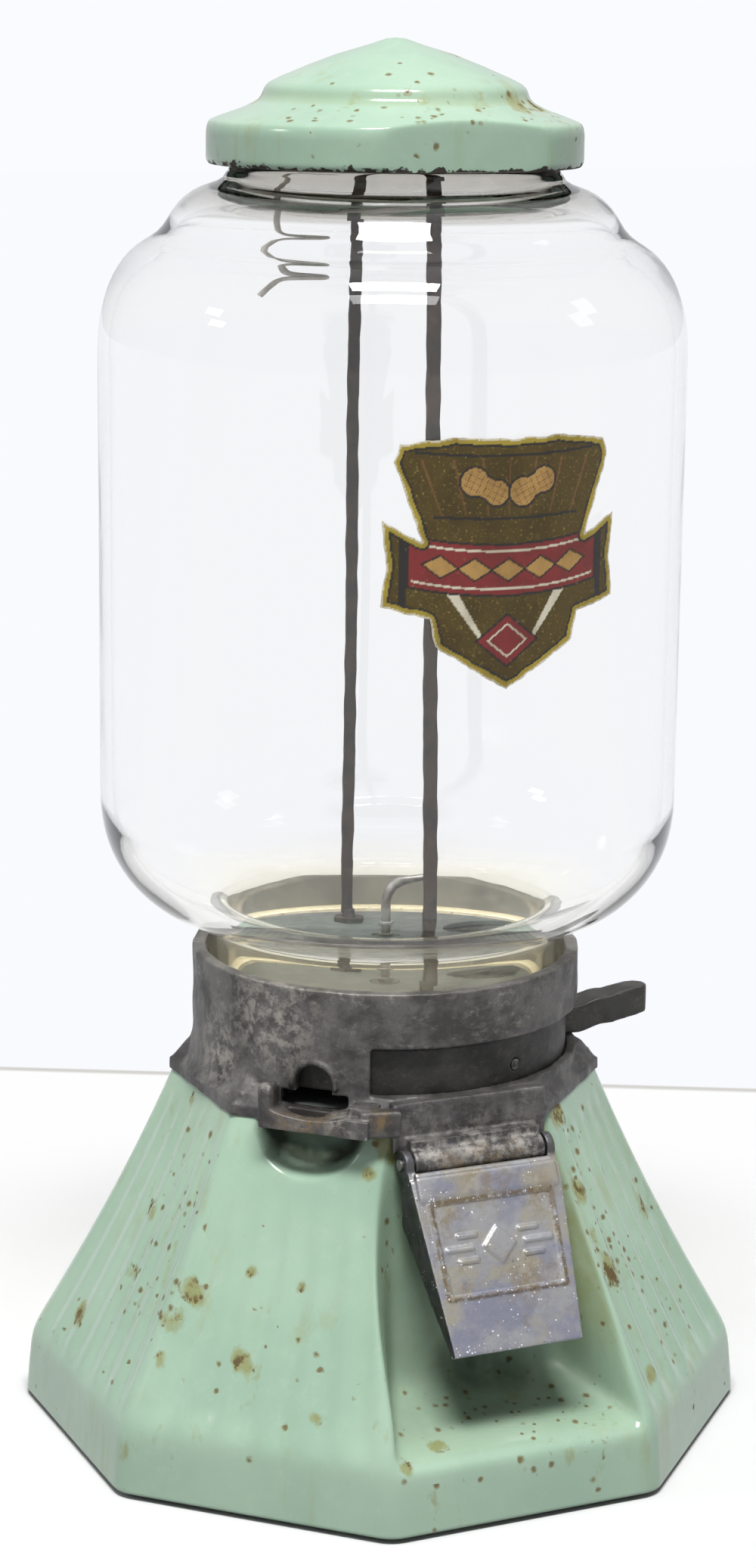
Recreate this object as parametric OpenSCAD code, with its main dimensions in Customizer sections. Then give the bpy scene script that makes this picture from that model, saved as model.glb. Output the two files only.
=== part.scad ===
// Counter peanut vending machine: octagonal base, die-cast collar with lever and measuring wheel,
// delivery chute with flap, glass globe held by two tie straps, and a lift-off lid.
// Millimetres, +Z up, front towards -Y, origin on the axis at the underside of the pads.

/* [Base] */
// Height of the pads under the base
pad_h = 2; // [1:0.5:4]
// Radius of a pad
pad_r = 8; // [6:0.5:9]
// Width across flats at the lower edge
base_flats = 189; // [186:1:194]
// Reach of the collar's flange past the flats at the top of the base
top_inset = 1.3; // [0.6:0.1:1.6]
// Height of the base casting
base_h = 96; // [94:1:100]
// Height of the plain band at the lower edge
band_h = 16; // [14:0.5:18]
// Inward lean of the plain band
band_lean = 1; // [0.5:0.1:1.6]
// Wall of the base casting
base_wall = 4; // [3.4:0.1:4.4]
// Rounding along the corners of the base
corner_soft = 9; // [6:0.5:11]
// Pleats on each facet
pleats = 6; // [4:1:8]
// Depth of a pleat
pleat_depth = 1.3; // [0.6:0.1:1.6]
// Thickness of the ring at the top of the base
top_ring_t = 4; // [3:0.5:5]

/* [Delivery recess] */
// Half width of the recess at its front lower edge
recess_front_half = 38; // [36:0.5:39]
// Half width of the recess at the top of its front
recess_top_half = 27; // [26:0.5:28]
// Half width of the back wall at its foot
recess_back_half = 26.5; // [25:0.5:28]
// Half width of the back wall at its top
recess_back_top_half = 24; // [23.5:0.5:25]
// Distance of the back wall's foot behind the flap's hinge
recess_back_in = 0; // [-3:0.5:2]
// Distance of the back wall's top behind the flats at the top of the base
recess_top_in = 2.4; // [2.2:0.1:2.7]
// Rise of the recess floor from front to back
recess_rise = 9; // [5:0.5:12]
// Wall round the recess
recess_wall = 3; // [2.4:0.1:3.2]

/* [Finger dimple] */
// Half width of the dimple under the coin ledge
dimple_half = 14; // [11:0.5:15]
// Depth of the dimple into the facet
dimple_depth = 8; // [5:0.5:9]
// Drop of the dimple below the top of the base
dimple_drop = 14; // [10:0.5:18]

/* [Collar] */
// Outer radius of the collar ring
ring_r = 54; // [53.6:0.1:54.4]
// Wall of the ring round the drum
ring_wall = 2.7; // [2.5:0.1:2.8]
// Wall of the cup that takes the globe
cup_wall = 3.5; // [3:0.1:3.8]
// Depth of the cup above the hopper floor
cup_h = 10.8; // [8:0.2:14]
// Width of the lip that carries the hopper floor
lip_w = 3.5; // [2.5:0.5:5.5]
// Thickness of the lip
lip_t = 1.7; // [1.4:0.1:2.4]
// Reach of the flange's flats past the ring
flange_out = 2; // [1.8:0.1:2.4]
// Thickness of the flange at its edge
flange_t = 3; // [2:0.5:4]
// Rise of the flange's slope above its edge
flange_rise = 9; // [7:0.5:10]
// Half width of the fascia below the flange
fascia_half = 22.5; // [22:0.1:23]
// Drop of the fascia below the flange
fascia_drop = 5; // [4.6:0.1:5.2]
// Thickness of the fascia
fascia_t = 3.4; // [3:0.1:3.6]

/* [Lever window] */
// Left end of the window, in degrees from the front
window_left = -28.4; // [-30:0.2:-26]
// Right end of the window, in degrees from the front
window_right = 88; // [88:0.5:100]
// Height of the window's sill above the flange seat
window_sill = 8.5; // [8.2:0.1:8.8]

/* [Coin way] */
// Direction of the coin way, in degrees from the front
coin_dir = -45; // [-46:0.5:-44]
// Radius of the coin seat
coin_seat_r = 10.3; // [9.8:0.1:10.6]
// Height of the coin gap
coin_gap_h = 4.4; // [4.2:0.1:4.6]
// Distance of the coin pocket's middle inside the ring
coin_pocket_in = 17; // [16.5:0.5:18]
// Width of the arch over the coin gap
arch_w = 10.4; // [8:0.2:12]
// Height of the arch above the coin gap
arch_h = 7.4; // [6:0.2:9]
// Reach of the coin ledge's front past the ring
ledge_out = 10; // [9:0.5:12]
// Reach of the ledge to the left of its middle
ledge_left = 12; // [11.6:0.2:13]
// Reach of the ledge to the right of its middle
ledge_right = 19.5; // [18:0.5:20]
// Height of the ledge's rim above the coin gap's floor
ledge_rim = 1.5; // [1:0.1:2]
// Distance of the coin seat's middle inside the ring
seat_in = 4; // [3:0.5:5]
// Height of the lug post at the left end of the ledge
lug_h = 7; // [5:0.5:8]
// Width of the lug post
lug_w = 3.4; // [2.6:0.2:4]

/* [Drum and wheel] */
// Height of the drum and the wheel
rotor_h = 17; // [16:0.5:18]
// Thickness of the drum's wall
drum_wall = 4; // [3.6:0.1:4.2]
// Radius of the measuring pocket
pocket_r = 11; // [8:0.5:11.5]
// Distance of the measuring pocket's middle inside the ring
pocket_in = 23; // [22:0.5:24]
// Thickness of the plate under the wheel
plate_t = 4; // [3:0.5:5]
// Radius of the wheel shaft
shaft_r = 4; // [3:0.25:5]
// Wall of the shaft's bush
bush_wall = 3; // [2:0.25:3.5]
// Radius of the bush's flange
bush_flange_r = 11; // [10:0.5:12.5]
// Thickness of the bush's flange
bush_flange_t = 3; // [2:0.5:4]
// Length of the bush below its flange
bush_tail = 9; // [8.6:0.2:12]

/* [Lever] */
// Direction of the lever at rest, in degrees from the front
lever_dir = 77; // [74:0.5:77]
// Turn of the lever from rest to the end of its pull
lever_turn = 90; // [80:1:90]
// Reach of the lever past the ring
lever_out = 23; // [16:0.5:26]
// Height of the lever
lever_h = 8; // [6:0.5:9]
// Depth of the lever at its root
lever_root_d = 12; // [9:0.5:13]
// Depth of the lever at its tip
lever_tip_d = 7; // [5:0.5:9]
// Upturn of the lever's tip
lever_upturn = 1.6; // [0:0.2:2]

/* [Return spring] */
// Wire of the return spring
spring_wire = 1.1; // [0.8:0.1:1.2]
// Turns of the return spring
spring_turns = 4; // [3:0.5:4.5]
// Rise of the spring in one turn
spring_pitch = 1.8; // [1.7:0.05:1.9]
// Radius of the spring at the middle of its wire
spring_r = 9.5; // [9.2:0.1:10.5]
// Thickness of the spring arm
arm_t = 3.5; // [3:0.5:5]

/* [Delivery chute and flap] */
// Half width of the chute
chute_half = 15.4; // [14:0.2:15.6]
// Wall of the chute
chute_wall = 2; // [1.5:0.1:2.4]
// Distance of the flap's hinge in front of the flange's flat
hinge_out = 4; // [3.8:0.1:4.4]
// Drop of the flap's hinge below the flange seat
hinge_drop = 7; // [6.8:0.1:7.2]
// Radius of the flap's pin
flap_pin_r = 1.5; // [1:0.1:1.8]
// Radius of the hinge barrel and of the flap's ears
barrel_r = 3.8; // [3.4:0.1:4]
// Lean of the flap from the vertical
flap_lean = 28.4; // [27.5:0.1:29]
// Length of the flap below its hinge
flap_len = 50; // [46:0.5:52]
// Drop of the flap's upper edge below its hinge
flap_top_drop = 5.2; // [4.6:0.1:6]
// Half width of the flap at its hinge
flap_top_half = 22.1; // [21.8:0.1:22.2]
// Half width of the flap at its lower edge
flap_low_half = 18.8; // [18.4:0.1:19.4]
// Thickness of the flap
flap_t = 2.8; // [2:0.1:3]
// Distance of the flap's face in front of its hinge
flap_face = 4.1; // [3.9:0.1:4.3]
// Depth of the flap's cheeks at the top
cheek_d = 13; // [9:0.5:14]
// Thickness of the flap's cheeks and ears
cheek_t = 2.4; // [2:0.1:2.6]
// Height of the raised border on the flap
border_h = 0.5; // [0.3:0.1:0.8]

/* [Hopper floor and globe] */
// Thickness of the hopper floor
floor_t = 3; // [2.5:0.5:4]
// Thickness of the cork ring under the globe
gasket_t = 1.5; // [1:0.25:3]
// Room round the globe's foot in the cup
foot_gap = 3; // [1.5:0.5:4.5]
// Height of the globe's foot
foot_h = 18; // [12:0.5:22]
// Radius of the globe's body
globe_r = 79.5; // [74:0.5:84]
// Height of the rounded heel
heel_h = 32; // [26:1:42]
// Height of the straight body
body_h = 126; // [104:1:144]
// Height of the rounded shoulder
shoulder_h = 29; // [22:1:34]
// Radius of the step above the shoulder
step_r = 61.4; // [56:0.2:64]
// Height of the step above the shoulder
step_h = 14.3; // [12:0.1:18]
// Radius of the globe's neck
neck_r = 44.5; // [44:0.1:45]
// Height of the neck
neck_h = 4.3; // [3:0.1:6]
// Thickness of the glass
glass_t = 3.2; // [2.6:0.1:3.4]

/* [Tie straps and yoke] */
// Distance of each strap from the axis
strap_at = 27; // [24:0.5:29]
// Width of a strap
strap_w = 4.6; // [4:0.1:6]
// Thickness of a strap
strap_t = 1.8; // [1.4:0.1:2.4]
// Radius of a strap's threaded end
stud_r = 2; // [1.6:0.1:2.2]
// Width across flats of the strap nuts
nut_flats = 8.4; // [7:0.2:9]
// Height of a strap nut
nut_h = 3; // [2:0.25:3.5]
// Thickness of the clamp yoke
yoke_t = 2.5; // [2:0.25:3]
// Width of the clamp yoke's bar
yoke_bar = 12; // [10:0.5:14]
// Inner radius of the clamp yoke's ring
yoke_in_r = 37; // [36.5:0.1:38]

/* [Lid] */
// Radius of the lid's rim
lid_r = 50.4; // [50:0.1:51]
// Height of the lid's rim
lid_rim_h = 10.6; // [8:0.2:12]
// Height of the lid above its rim
lid_crown_h = 22.5; // [18:0.5:26]
// Distance of the lid's flats from the axis
lid_flat = 44.6; // [44.5:0.1:45.4]
// Wall of the lid
lid_wall = 2.4; // [2:0.1:2.5]
// Wire of the lid catch
catch_wire = 2; // [1.4:0.1:2.4]
// Drop of the lid catch below the lid's rim
catch_drop = 28; // [20:1:36]

/* [Cash box] */
// Thickness of the bottom plate
bottom_t = 1.5; // [1.2:0.1:2]
// Radius of the stand bolt's hole
stand_hole_r = 4.2; // [3:0.1:6]
// Height of the lock's axis above the lower edge
lock_h = 38; // [34:1:42]
// Radius of the lock barrel
lock_r = 8; // [7:0.5:9]
// Radius of the lock plug
plug_r = 5.5; // [4.5:0.25:6]
// Reach of the lock cam from the plug's axis
cam_reach = 22; // [18:0.5:24]
// Width of the lock cam
cam_w = 8; // [6:0.5:9]
// Thickness of the lock cam
cam_t = 2.5; // [2:0.25:3]

/* [Fits] */
// Radial clearance of a running fit
run_gap = 0.05; // [0.02:0.01:0.1]
// Clearance between parts that pass each other
pass_gap = 0.3; // [0.25:0.05:0.4]
// Clearance of a bolt or screw in its hole
bolt_gap = 0.1; // [0.05:0.05:0.2]
// Radius of the small screws
screw_r = 1.6; // [1.2:0.1:1.8]
// Radius of the body bolts
bolt_r = 2; // [1.6:0.1:2.4]

/* [Hidden] */
$fn = 96;
cut = 1;
far = 200;
enamel = "#a9d6bd";
casting = "#77767a";
dark_steel = "#4d453d";
plain_steel = "#9a9a98";
brass = "#b39a5a";

// Heights, from the pads up
seat_z = pad_h + base_h;
plate_z = seat_z + plate_t;
rotor_z0 = plate_z + pass_gap;
rotor_z1 = rotor_z0 + rotor_h;
lip_z0 = rotor_z1 + pass_gap;
lip_z1 = lip_z0 + lip_t;
floor_z = lip_z1 + floor_t;
globe_z = floor_z + gasket_t;
ring_z1 = floor_z + cup_h;
heel_z = globe_z + foot_h;
body_z = heel_z + heel_h;
shoulder_z = body_z + body_h;
step_z = shoulder_z + shoulder_h;
neck_z = step_z + step_h;
rim_z = neck_z + neck_h;
yoke_z = rim_z + yoke_t;
lid_z = rim_z + pass_gap;

// Collar and what follows its ring
cup_r = ring_r - cup_wall;
lip_r = cup_r - lip_w;
flange_apo = ring_r + flange_out;
ledge_apo = ring_r + ledge_out;
seat_at = ring_r - seat_in;
coin_pocket_at = ring_r - coin_pocket_in;
pocket_at = ring_r - pocket_in;
hinge_at = flange_apo + hinge_out;
foot_r = cup_r - foot_gap;
lever_reach = ring_r + lever_out;
plate_in = 1.2;
top_lap = 1.5;

// Base
boss_in = 14.5;
pad_in = 6.5;
base_apo = base_flats / 2;
band_apo = base_apo - band_lean;
top_apo = flange_apo - top_inset;
recess_back = hinge_at - recess_back_in;
recess_back_top = top_apo - recess_top_in;
band_z = pad_h + band_h;
slope_rate = (band_apo - top_apo) / (base_h - band_h);
pleat_fade = 4;
open_r = cup_r - top_lap;
bottom_apo = base_apo - base_wall - pass_gap;
bottom_z = pad_h + bottom_t;
bottom_r = (bottom_apo - corner_soft) / cos(22.5) + corner_soft - pass_gap;
boss_r = 5;
boss_at = base_apo - boss_in;
boss_h = 11;
pad_at = base_apo - pad_in;
bolt_out = 1.8;
bolt_at = ring_r + bolt_out;
bolt_boss_h = 12;
bolt_head_h = 3;
bolt_depth = 6;
bolt_dirs = [-157.5, -67.5, 67.5, 157.5];
fascia_lip = 0.4;
flange_step = 0.2;

// Rotor
chamber_r = ring_r - ring_wall;
drum_r = chamber_r - pass_gap;
drum_in_r = drum_r - drum_wall;
wheel_r = drum_in_r - run_gap;
plate_r = ring_r - plate_in;
bush_r = shaft_r + bush_wall;
bush_z = seat_z - bush_flange_t - bush_tail;
arm_r = 8.5;
arm_z1 = bush_z - pass_gap;
arm_z0 = arm_z1 - arm_t;
arm_reach = spring_r + 3;
spring_z0 = arm_z1 + pass_gap + spring_wire / 2;
spring_rings = 8;
spring_sides = 6;
pin_dirs = [-130, 20, 150];
drum_pin_r = 1.5;
drum_pin_in = 4;
drum_pin_z = rotor_z0 + rotor_h / 2;
drop_dir = coin_dir - lever_turn;
pocket_dir = lever_turn;
lever_z0 = seat_z + window_sill + 2 * pass_gap;
lever_mid = 0.55;
set_dirs = [115, 180, 235];
agitator_dir = -24;
set_z = lip_z1 + floor_t / 2;

// Chute and flap: d runs down the flap, n points out of its face, both in the YZ plane
hinge_y = -hinge_at;
hinge_z = seat_z - hinge_drop;
d_y = -sin(flap_lean);
d_z = -cos(flap_lean);
n_y = -cos(flap_lean);
n_z = sin(flap_lean);
mouth_back = flap_face - flap_t - 2 * pass_gap;
throat_room = 3;
chute_back = pocket_at - pocket_r - throat_room;
chute_front = pocket_at + pocket_r + throat_room + 1;
throat_drop = 8;
mouth_top = barrel_r + 4;
mouth_low = flap_len - 4.5;
chute_ear_w = 9;
chute_ear_d = 10;
chute_ear_t = 2.5;
ear_gap = 2 * pass_gap;
ear_in = flap_top_half - cheek_t;
barrel_half = ear_in - ear_gap;

// Lid outline above the rim: radius and height as shares of the rim radius and the crown height
lid_steps = [[0.985, 0.03], [0.945, 0.09], [0.823, 0.2], [0.744, 0.355], [0.706, 0.405], [0.665, 0.5],
    [0.609, 0.595], [0.45, 0.675], [0.3, 0.8], [0.135, 0.925], [0.05, 0.99]];
lid_in_flat = lid_flat - lid_wall;
lid_in_r = lid_r - lid_wall;
catch_x = -14;
catch_y = 10;
catch_bend_x = -31;
catch_tip = 9;
catch_tip_lean = 24;
catch_boss_r = 3.5;
catch_boss_z = lid_z + lid_rim_h;
catch_in = 8;
catch_top = catch_boss_z + catch_in;
catch_pin_r = 0.6;
yoke_r = neck_r + 1;
yoke_flat = lid_in_flat - pass_gap;
shoulder_in_r = neck_r - 1;
stud_top = yoke_z + nut_h + 2;

// Lock
lock_z = pad_h + lock_h;
lock_boss_wall = 5;
lock_boss_r = lock_r + lock_boss_wall;
lock_face = facet_apo(lock_h - lock_boss_r);
lock_lip = 3;
lock_flange_r = lock_r + lock_lip;
lock_flange_t = 2;
lock_len = 25;
lock_in = lock_face - lock_len;
lock_nut_t = 4;
key_w = 1.8;
key_h = 6.8;
key_depth = 4;
cam_y = lock_in - cam_t - pass_gap;
finger_t = 2.5;
finger_w = 8;
finger_x = cam_reach - finger_w - 2;

// Distance of the base's flats from the axis at a height above the lower edge
function facet_apo(h) = h < band_h
    ? base_apo - band_lean * h / band_h
    : band_apo - slope_rate * (h - band_h);

// Point at u along and w out of a facet that faces direction a
function on_facet(a, u, w, z) = [u * cos(a) + w * sin(a), u * sin(a) - w * cos(a), z];

// Closed octagonal ring of points with soft corners and pleats
function oct_ring(apo, soft, depth, z) = [
    for (k = [0:7])
        let (half = (apo - soft) * tan(22.5))
        for (i = [0:2 * pleats + 1])
            i <= 2 * pleats
                ? on_facet(45 * k, half * (i / pleats - 1), apo - (k > 0 && i % 2 == 1 ? depth : 0), z)
                : on_facet(45 * k + 22.5, 0, (apo - soft) / cos(22.5) + soft, z)
];

// The same ring drawn in to a circle, point for point
function round_ring(ring, r, z) = [for (p = ring) [r * p[0], r * p[1], 0] / norm([p[0], p[1]]) + [0, 0, z]];

// Faces of a closed tube of rings; the last ring joins the first
function loop_faces(rows, n) = [
    for (j = [0:rows - 1], i = [0:n - 1])
        let (a = j * n + i, b = j * n + (i + 1) % n)
        let (c = ((j + 1) % rows) * n + (i + 1) % n, d = ((j + 1) % rows) * n + i)
        each [[a, d, c], [a, c, b]]
];

// Quarter of an ellipse from the angle a0 to a1, in steps
function arc_points(centre, rx, rz, a0, a1, steps) = [
    for (i = [0:steps])
        let (a = a0 + (a1 - a0) * i / steps)
        [centre[0] + rx * cos(a), centre[1] + rz * sin(a)]
];

// Point in the YZ plane at s down the flap and t out of its hinge plane
function flap_point(s, t) = [hinge_y + s * d_y + t * n_y, hinge_z + s * d_z + t * n_z];

// Child turned to direction a, measured from the front towards the right, at radius r
module at(a, r, z) {
    rotate([0, 0, a]) translate([0, -r, z]) children();
}

// Rod along +Y from y0 to y1
module rod_y(r, x, y0, y1, z) {
    translate([x, y0, z]) rotate([-90, 0, 0]) cylinder(r = r, h = y1 - y0);
}

// Outline in the YZ plane, drawn along X between x0 and x1
module along_x(x0, x1, outline) {
    translate([x0, 0, 0]) rotate([90, 0, 90]) linear_extrude(x1 - x0) polygon(outline);
}

// Frustum with eight flat sides
module oct_frustum(z0, z1, apo0, apo1) {
    intersection_for (i = [0:3])
        rotate([0, 0, 45 * i])
            along_x(-far, far, [[-apo0, z0], [apo0, z0], [apo1, z1], [-apo1, z1]]);
}

// Hexagon nut with its hole
module hex_nut(flats, hole, h) {
    difference() {
        cylinder(r = flats / 2 / cos(30), h = h, $fn = 6);
        translate([0, 0, -cut]) cylinder(r = hole, h = h + 2 * cut);
    }
}

// Screw with a slotted round head, head at the lower end
module slot_screw(r, length, head_r, head_h) {
    difference() {
        union() {
            cylinder(r = head_r, h = head_h);
            cylinder(r = r, h = head_h + length);
        }
        translate([-head_r, -head_r / 8, -cut]) cube([2 * head_r, head_r / 4, cut + head_h / 2]);
    }
}

// Wedge of the delivery recess, grown by g
module recess_wedge(g) {
    front = base_apo + 10;
    run = front - recess_back;
    spread = (recess_front_half - recess_back_half) / (base_apo - recess_back);
    top_spread = (recess_top_half - recess_back_top_half) / (top_apo - recess_back_top);
    low = recess_back_half + spread * run + g;
    high = recess_back_top_half + top_spread * (front - recess_back_top) + g;
    drop = recess_rise * run / (band_apo - recess_back);
    back_z = band_z + 1 + recess_rise - g;
    top_z = seat_z + cut + g;
    hull() polyhedron(
        points = [[-low, -front, back_z - drop], [low, -front, back_z - drop],
            [recess_back_half + g, g - recess_back, back_z], [-recess_back_half - g, g - recess_back, back_z],
            [-high, -front, top_z], [high, -front, top_z],
            [recess_back_top_half + g, g - recess_back_top, top_z],
            [-recess_back_top_half - g, g - recess_back_top, top_z]],
        faces = [[0, 1, 2], [0, 2, 3], [4, 6, 5], [4, 7, 6], [0, 4, 5], [0, 5, 1],
            [1, 5, 6], [1, 6, 2], [2, 6, 7], [2, 7, 3], [3, 7, 4], [3, 4, 0]]
    );
}

// Half-dome of the finger dimple, grown by g
module dimple_dome(g) {
    at(coin_dir, facet_apo(base_h - dimple_drop / 2), seat_z)
        scale([(dimple_half + g) / far, (dimple_depth + g) / far, (dimple_drop + g) / far])
            sphere(r = far, $fn = 32);
}

// Pleated shell of the base with its top ring, before the recess is cut
module base_wall_shell() {
    rows = [
        oct_ring(base_apo, corner_soft, 0, pad_h),
        oct_ring(band_apo, corner_soft, 0, band_z),
        oct_ring(facet_apo(band_h + pleat_fade), corner_soft, pleat_depth, band_z + pleat_fade),
        oct_ring(facet_apo(base_h - pleat_fade), corner_soft / 2, pleat_depth / 2, seat_z - pleat_fade),
        oct_ring(top_apo, corner_soft / 2, 0, seat_z),
        round_ring(oct_ring(top_apo, corner_soft / 2, 0, 0), open_r, seat_z),
        round_ring(oct_ring(top_apo, corner_soft / 2, 0, 0), open_r, seat_z - top_ring_t),
        oct_ring(facet_apo(base_h - top_ring_t) - base_wall, corner_soft / 2, 0, seat_z - top_ring_t),
        oct_ring(band_apo - base_wall, corner_soft, 0, band_z),
        oct_ring(base_apo - base_wall, corner_soft, 0, pad_h)
    ];
    n = len(rows[0]);
    polyhedron(points = [for (row = rows) each row], faces = loop_faces(len(rows), n));
}

// Solid octagon inside the wall that bounds what is added behind it
module base_bound() {
    sunk = base_wall / 2;
    oct_frustum(pad_h + sunk / 2, band_z, base_apo - sunk, band_apo - sunk);
    oct_frustum(band_z - cut, seat_z - top_ring_t / 2, band_apo - sunk, top_apo - sunk);
}

module base_shell() {
    color(enamel) difference() {
        union() {
            base_wall_shell();
            intersection() {
                base_bound();
                union() {
                    recess_wedge(recess_wall);
                    dimple_dome(recess_wall);
                    for (a = [0:90:270])
                        hull() {
                            at(a, boss_at, bottom_z) cylinder(r = boss_r, h = boss_h, $fn = 24);
                            at(a, base_apo - base_wall, bottom_z)
                                translate([-boss_r, -cut, 0]) cube([2 * boss_r, 2 * cut, boss_h]);
                        }
                    for (a = bolt_dirs)
                        hull() {
                            at(a, bolt_at, seat_z - bolt_boss_h)
                                cylinder(r = boss_r, h = bolt_boss_h, $fn = 24);
                            at(a, bolt_at + boss_r, seat_z - bolt_boss_h)
                                translate([-boss_r, -cut, 0]) cube([2 * boss_r, 2 * cut, bolt_boss_h]);
                        }
                }
            }
            rod_y(lock_boss_r, 0, lock_in + lock_nut_t + 2, lock_face, lock_z);
        }
        recess_wedge(0);
        dimple_dome(0);
        along_x(-chute_half - 2 * pass_gap, chute_half + 2 * pass_gap, chute_way());
        rod_y(lock_r + bolt_gap, 0, lock_in - cut, lock_face + cut, lock_z);
        for (a = [0:90:270])
            at(a, boss_at, bottom_z - cut) cylinder(r = screw_r + bolt_gap, h = boss_h, $fn = 24);
        for (a = bolt_dirs)
            at(a, bolt_at, seat_z - bolt_boss_h - cut)
                cylinder(r = bolt_r + bolt_gap, h = bolt_boss_h + 2 * cut, $fn = 24);
    }
}

// Passage of the chute through the back wall of the recess
function chute_way() = [
    [-recess_back - cut, seat_z - top_ring_t],
    [-open_r + recess_wall, seat_z - top_ring_t],
    [-open_r + recess_wall, chute_floor_z(open_r - recess_wall) - 3 * pass_gap],
    [-recess_back - cut, chute_floor_z(recess_back + cut) - 3 * pass_gap]
];

// Height of the chute's underside at a distance in front of the axis
function chute_floor_z(y) =
    let (low = flap_point(mouth_low, mouth_back))
    let (high = seat_z - throat_drop)
    high + (low[1] - high) * (y - chute_back) / (-low[0] - chute_back);

module bottom_plate() {
    color(plain_steel) {
        difference() {
            intersection() {
                oct_frustum(pad_h, bottom_z, bottom_apo, bottom_apo);
                translate([0, 0, pad_h]) cylinder(r = bottom_r, h = bottom_t);
            }
            translate([0, 0, pad_h - cut]) cylinder(r = stand_hole_r, h = bottom_t + 2 * cut);
            for (a = [0:90:270])
                at(a, boss_at, pad_h - cut) cylinder(r = screw_r + bolt_gap, h = bottom_t + 2 * cut);
        }
        translate([finger_x, cam_y - 2 * finger_t, bottom_z])
            cube([finger_w, finger_t, lock_z + cam_w / 2 + 2 * finger_t - bottom_z]);
        translate([finger_x, cam_y - 2 * finger_t, lock_z + cam_w / 2 + finger_t])
            cube([finger_w, cam_t + 3 * finger_t, finger_t]);
    }
}

module bottom_screws() {
    color(dark_steel)
        for (a = [0:90:270])
            at(a, boss_at, pad_h - 1.2) slot_screw(screw_r, boss_h - 2, 2 * screw_r, 1.2);
}

module foot_pads() {
    color("#242322")
        for (a = [22.5:90:292.5])
            at(a, pad_at, 0) cylinder(r = pad_r, h = pad_h);
}

module mechanism_body() {
    color(casting) difference() {
        union() {
            oct_frustum(seat_z, seat_z + flange_t, flange_apo, flange_apo);
            oct_frustum(seat_z + flange_t - flange_step, seat_z + flange_t + flange_rise,
                flange_apo - flange_step, (ring_r - ring_wall / 2) * cos(22.5));
            translate([0, 0, seat_z]) cylinder(r = ring_r, h = ring_z1 - seat_z);
            translate([-fascia_half, -flange_apo - fascia_lip, seat_z - fascia_drop])
                cube([2 * fascia_half, fascia_t, fascia_drop + window_sill]);
            coin_ledge();
            translate([-barrel_half, hinge_y, hinge_z]) rotate([0, 90, 0])
                cylinder(r = barrel_r, h = 2 * barrel_half);
            translate([-barrel_half, hinge_y, hinge_z])
                cube([2 * barrel_half, hinge_at - flange_apo, hinge_drop - 1]);
        }
        translate([0, 0, seat_z - cut]) cylinder(r = plate_r + bolt_gap, h = plate_t + cut);
        translate([0, 0, seat_z]) cylinder(r = chamber_r, h = lip_z0 - seat_z);
        translate([0, 0, seat_z]) cylinder(r = lip_r, h = far);
        translate([0, 0, lip_z1]) cylinder(r = cup_r, h = far);
        rotate([0, 0, window_left - 90])
            rotate_extrude(angle = window_right - window_left)
                translate([chamber_r - cut, seat_z + window_sill])
                    square([flange_apo / cos(22.5) - chamber_r + 2 * cut, lip_z0 - seat_z - window_sill]);
        coin_cut();
        translate([-barrel_half - cut, hinge_y, hinge_z]) rotate([0, 90, 0])
            cylinder(r = flap_pin_r + run_gap, h = 2 * (barrel_half + cut));
        for (a = bolt_dirs)
            at(a, bolt_at, seat_z - cut) cylinder(r = bolt_r + bolt_gap, h = bolt_depth + cut);
        for (a = set_dirs)
            rotate([0, 0, a]) rod_y(screw_r + bolt_gap, 0, -ring_r - cut, -cup_r + cut, set_z);
    }
}

// Ledge with its rim, lug post and boss, before the coin seat is cut
module coin_ledge() {
    rotate([0, 0, coin_dir]) {
        translate([-ledge_left, -ledge_apo, seat_z + 0.5])
            cube([ledge_left + ledge_right, ledge_apo - chamber_r, plate_t + ledge_rim - 0.5]);
        translate([-ledge_left, -ledge_apo, seat_z + 0.5])
            cube([lug_w, ledge_apo - ring_r - 2, plate_t + lug_h - 0.5]);
        translate([ledge_right - 2 * lug_w, -ledge_apo + lug_w, seat_z + 0.5])
            cube([2 * lug_w, ledge_apo - ring_r - lug_w, plate_t + lug_h / 2]);
    }
}

// Coin gap, coin seat, thumb hole and arch
module coin_cut() {
    rotate([0, 0, coin_dir]) {
        translate([-coin_seat_r, -seat_at, plate_z]) cube([2 * coin_seat_r, far, coin_gap_h]);
        translate([0, -seat_at, plate_z]) cylinder(r = coin_seat_r, h = coin_gap_h);
        translate([0, -seat_at - coin_seat_r / 3, seat_z]) intersection() {
            cylinder(r = coin_seat_r - 3, h = plate_t + cut);
            translate([-far, -far - plate_r + seat_at - 1, 0])
                cube([2 * far, far + coin_seat_r / 3 - 1, far]);
        }
        translate([-arch_w / 2, -ring_r - cut, plate_z])
            cube([arch_w, ring_r, coin_gap_h + arch_h - arch_w / 2]);
        translate([0, 0, plate_z + coin_gap_h + arch_h - arch_w / 2])
            rod_y(arch_w / 2, 0, -ring_r - cut, -cut, 0);
    }
}

module body_bolts() {
    color(dark_steel)
        for (a = bolt_dirs)
            at(a, bolt_at, seat_z - bolt_boss_h - bolt_head_h)
                slot_screw(bolt_r, bolt_boss_h + bolt_depth - 1, 1.8 * bolt_r, bolt_head_h);
}

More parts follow.
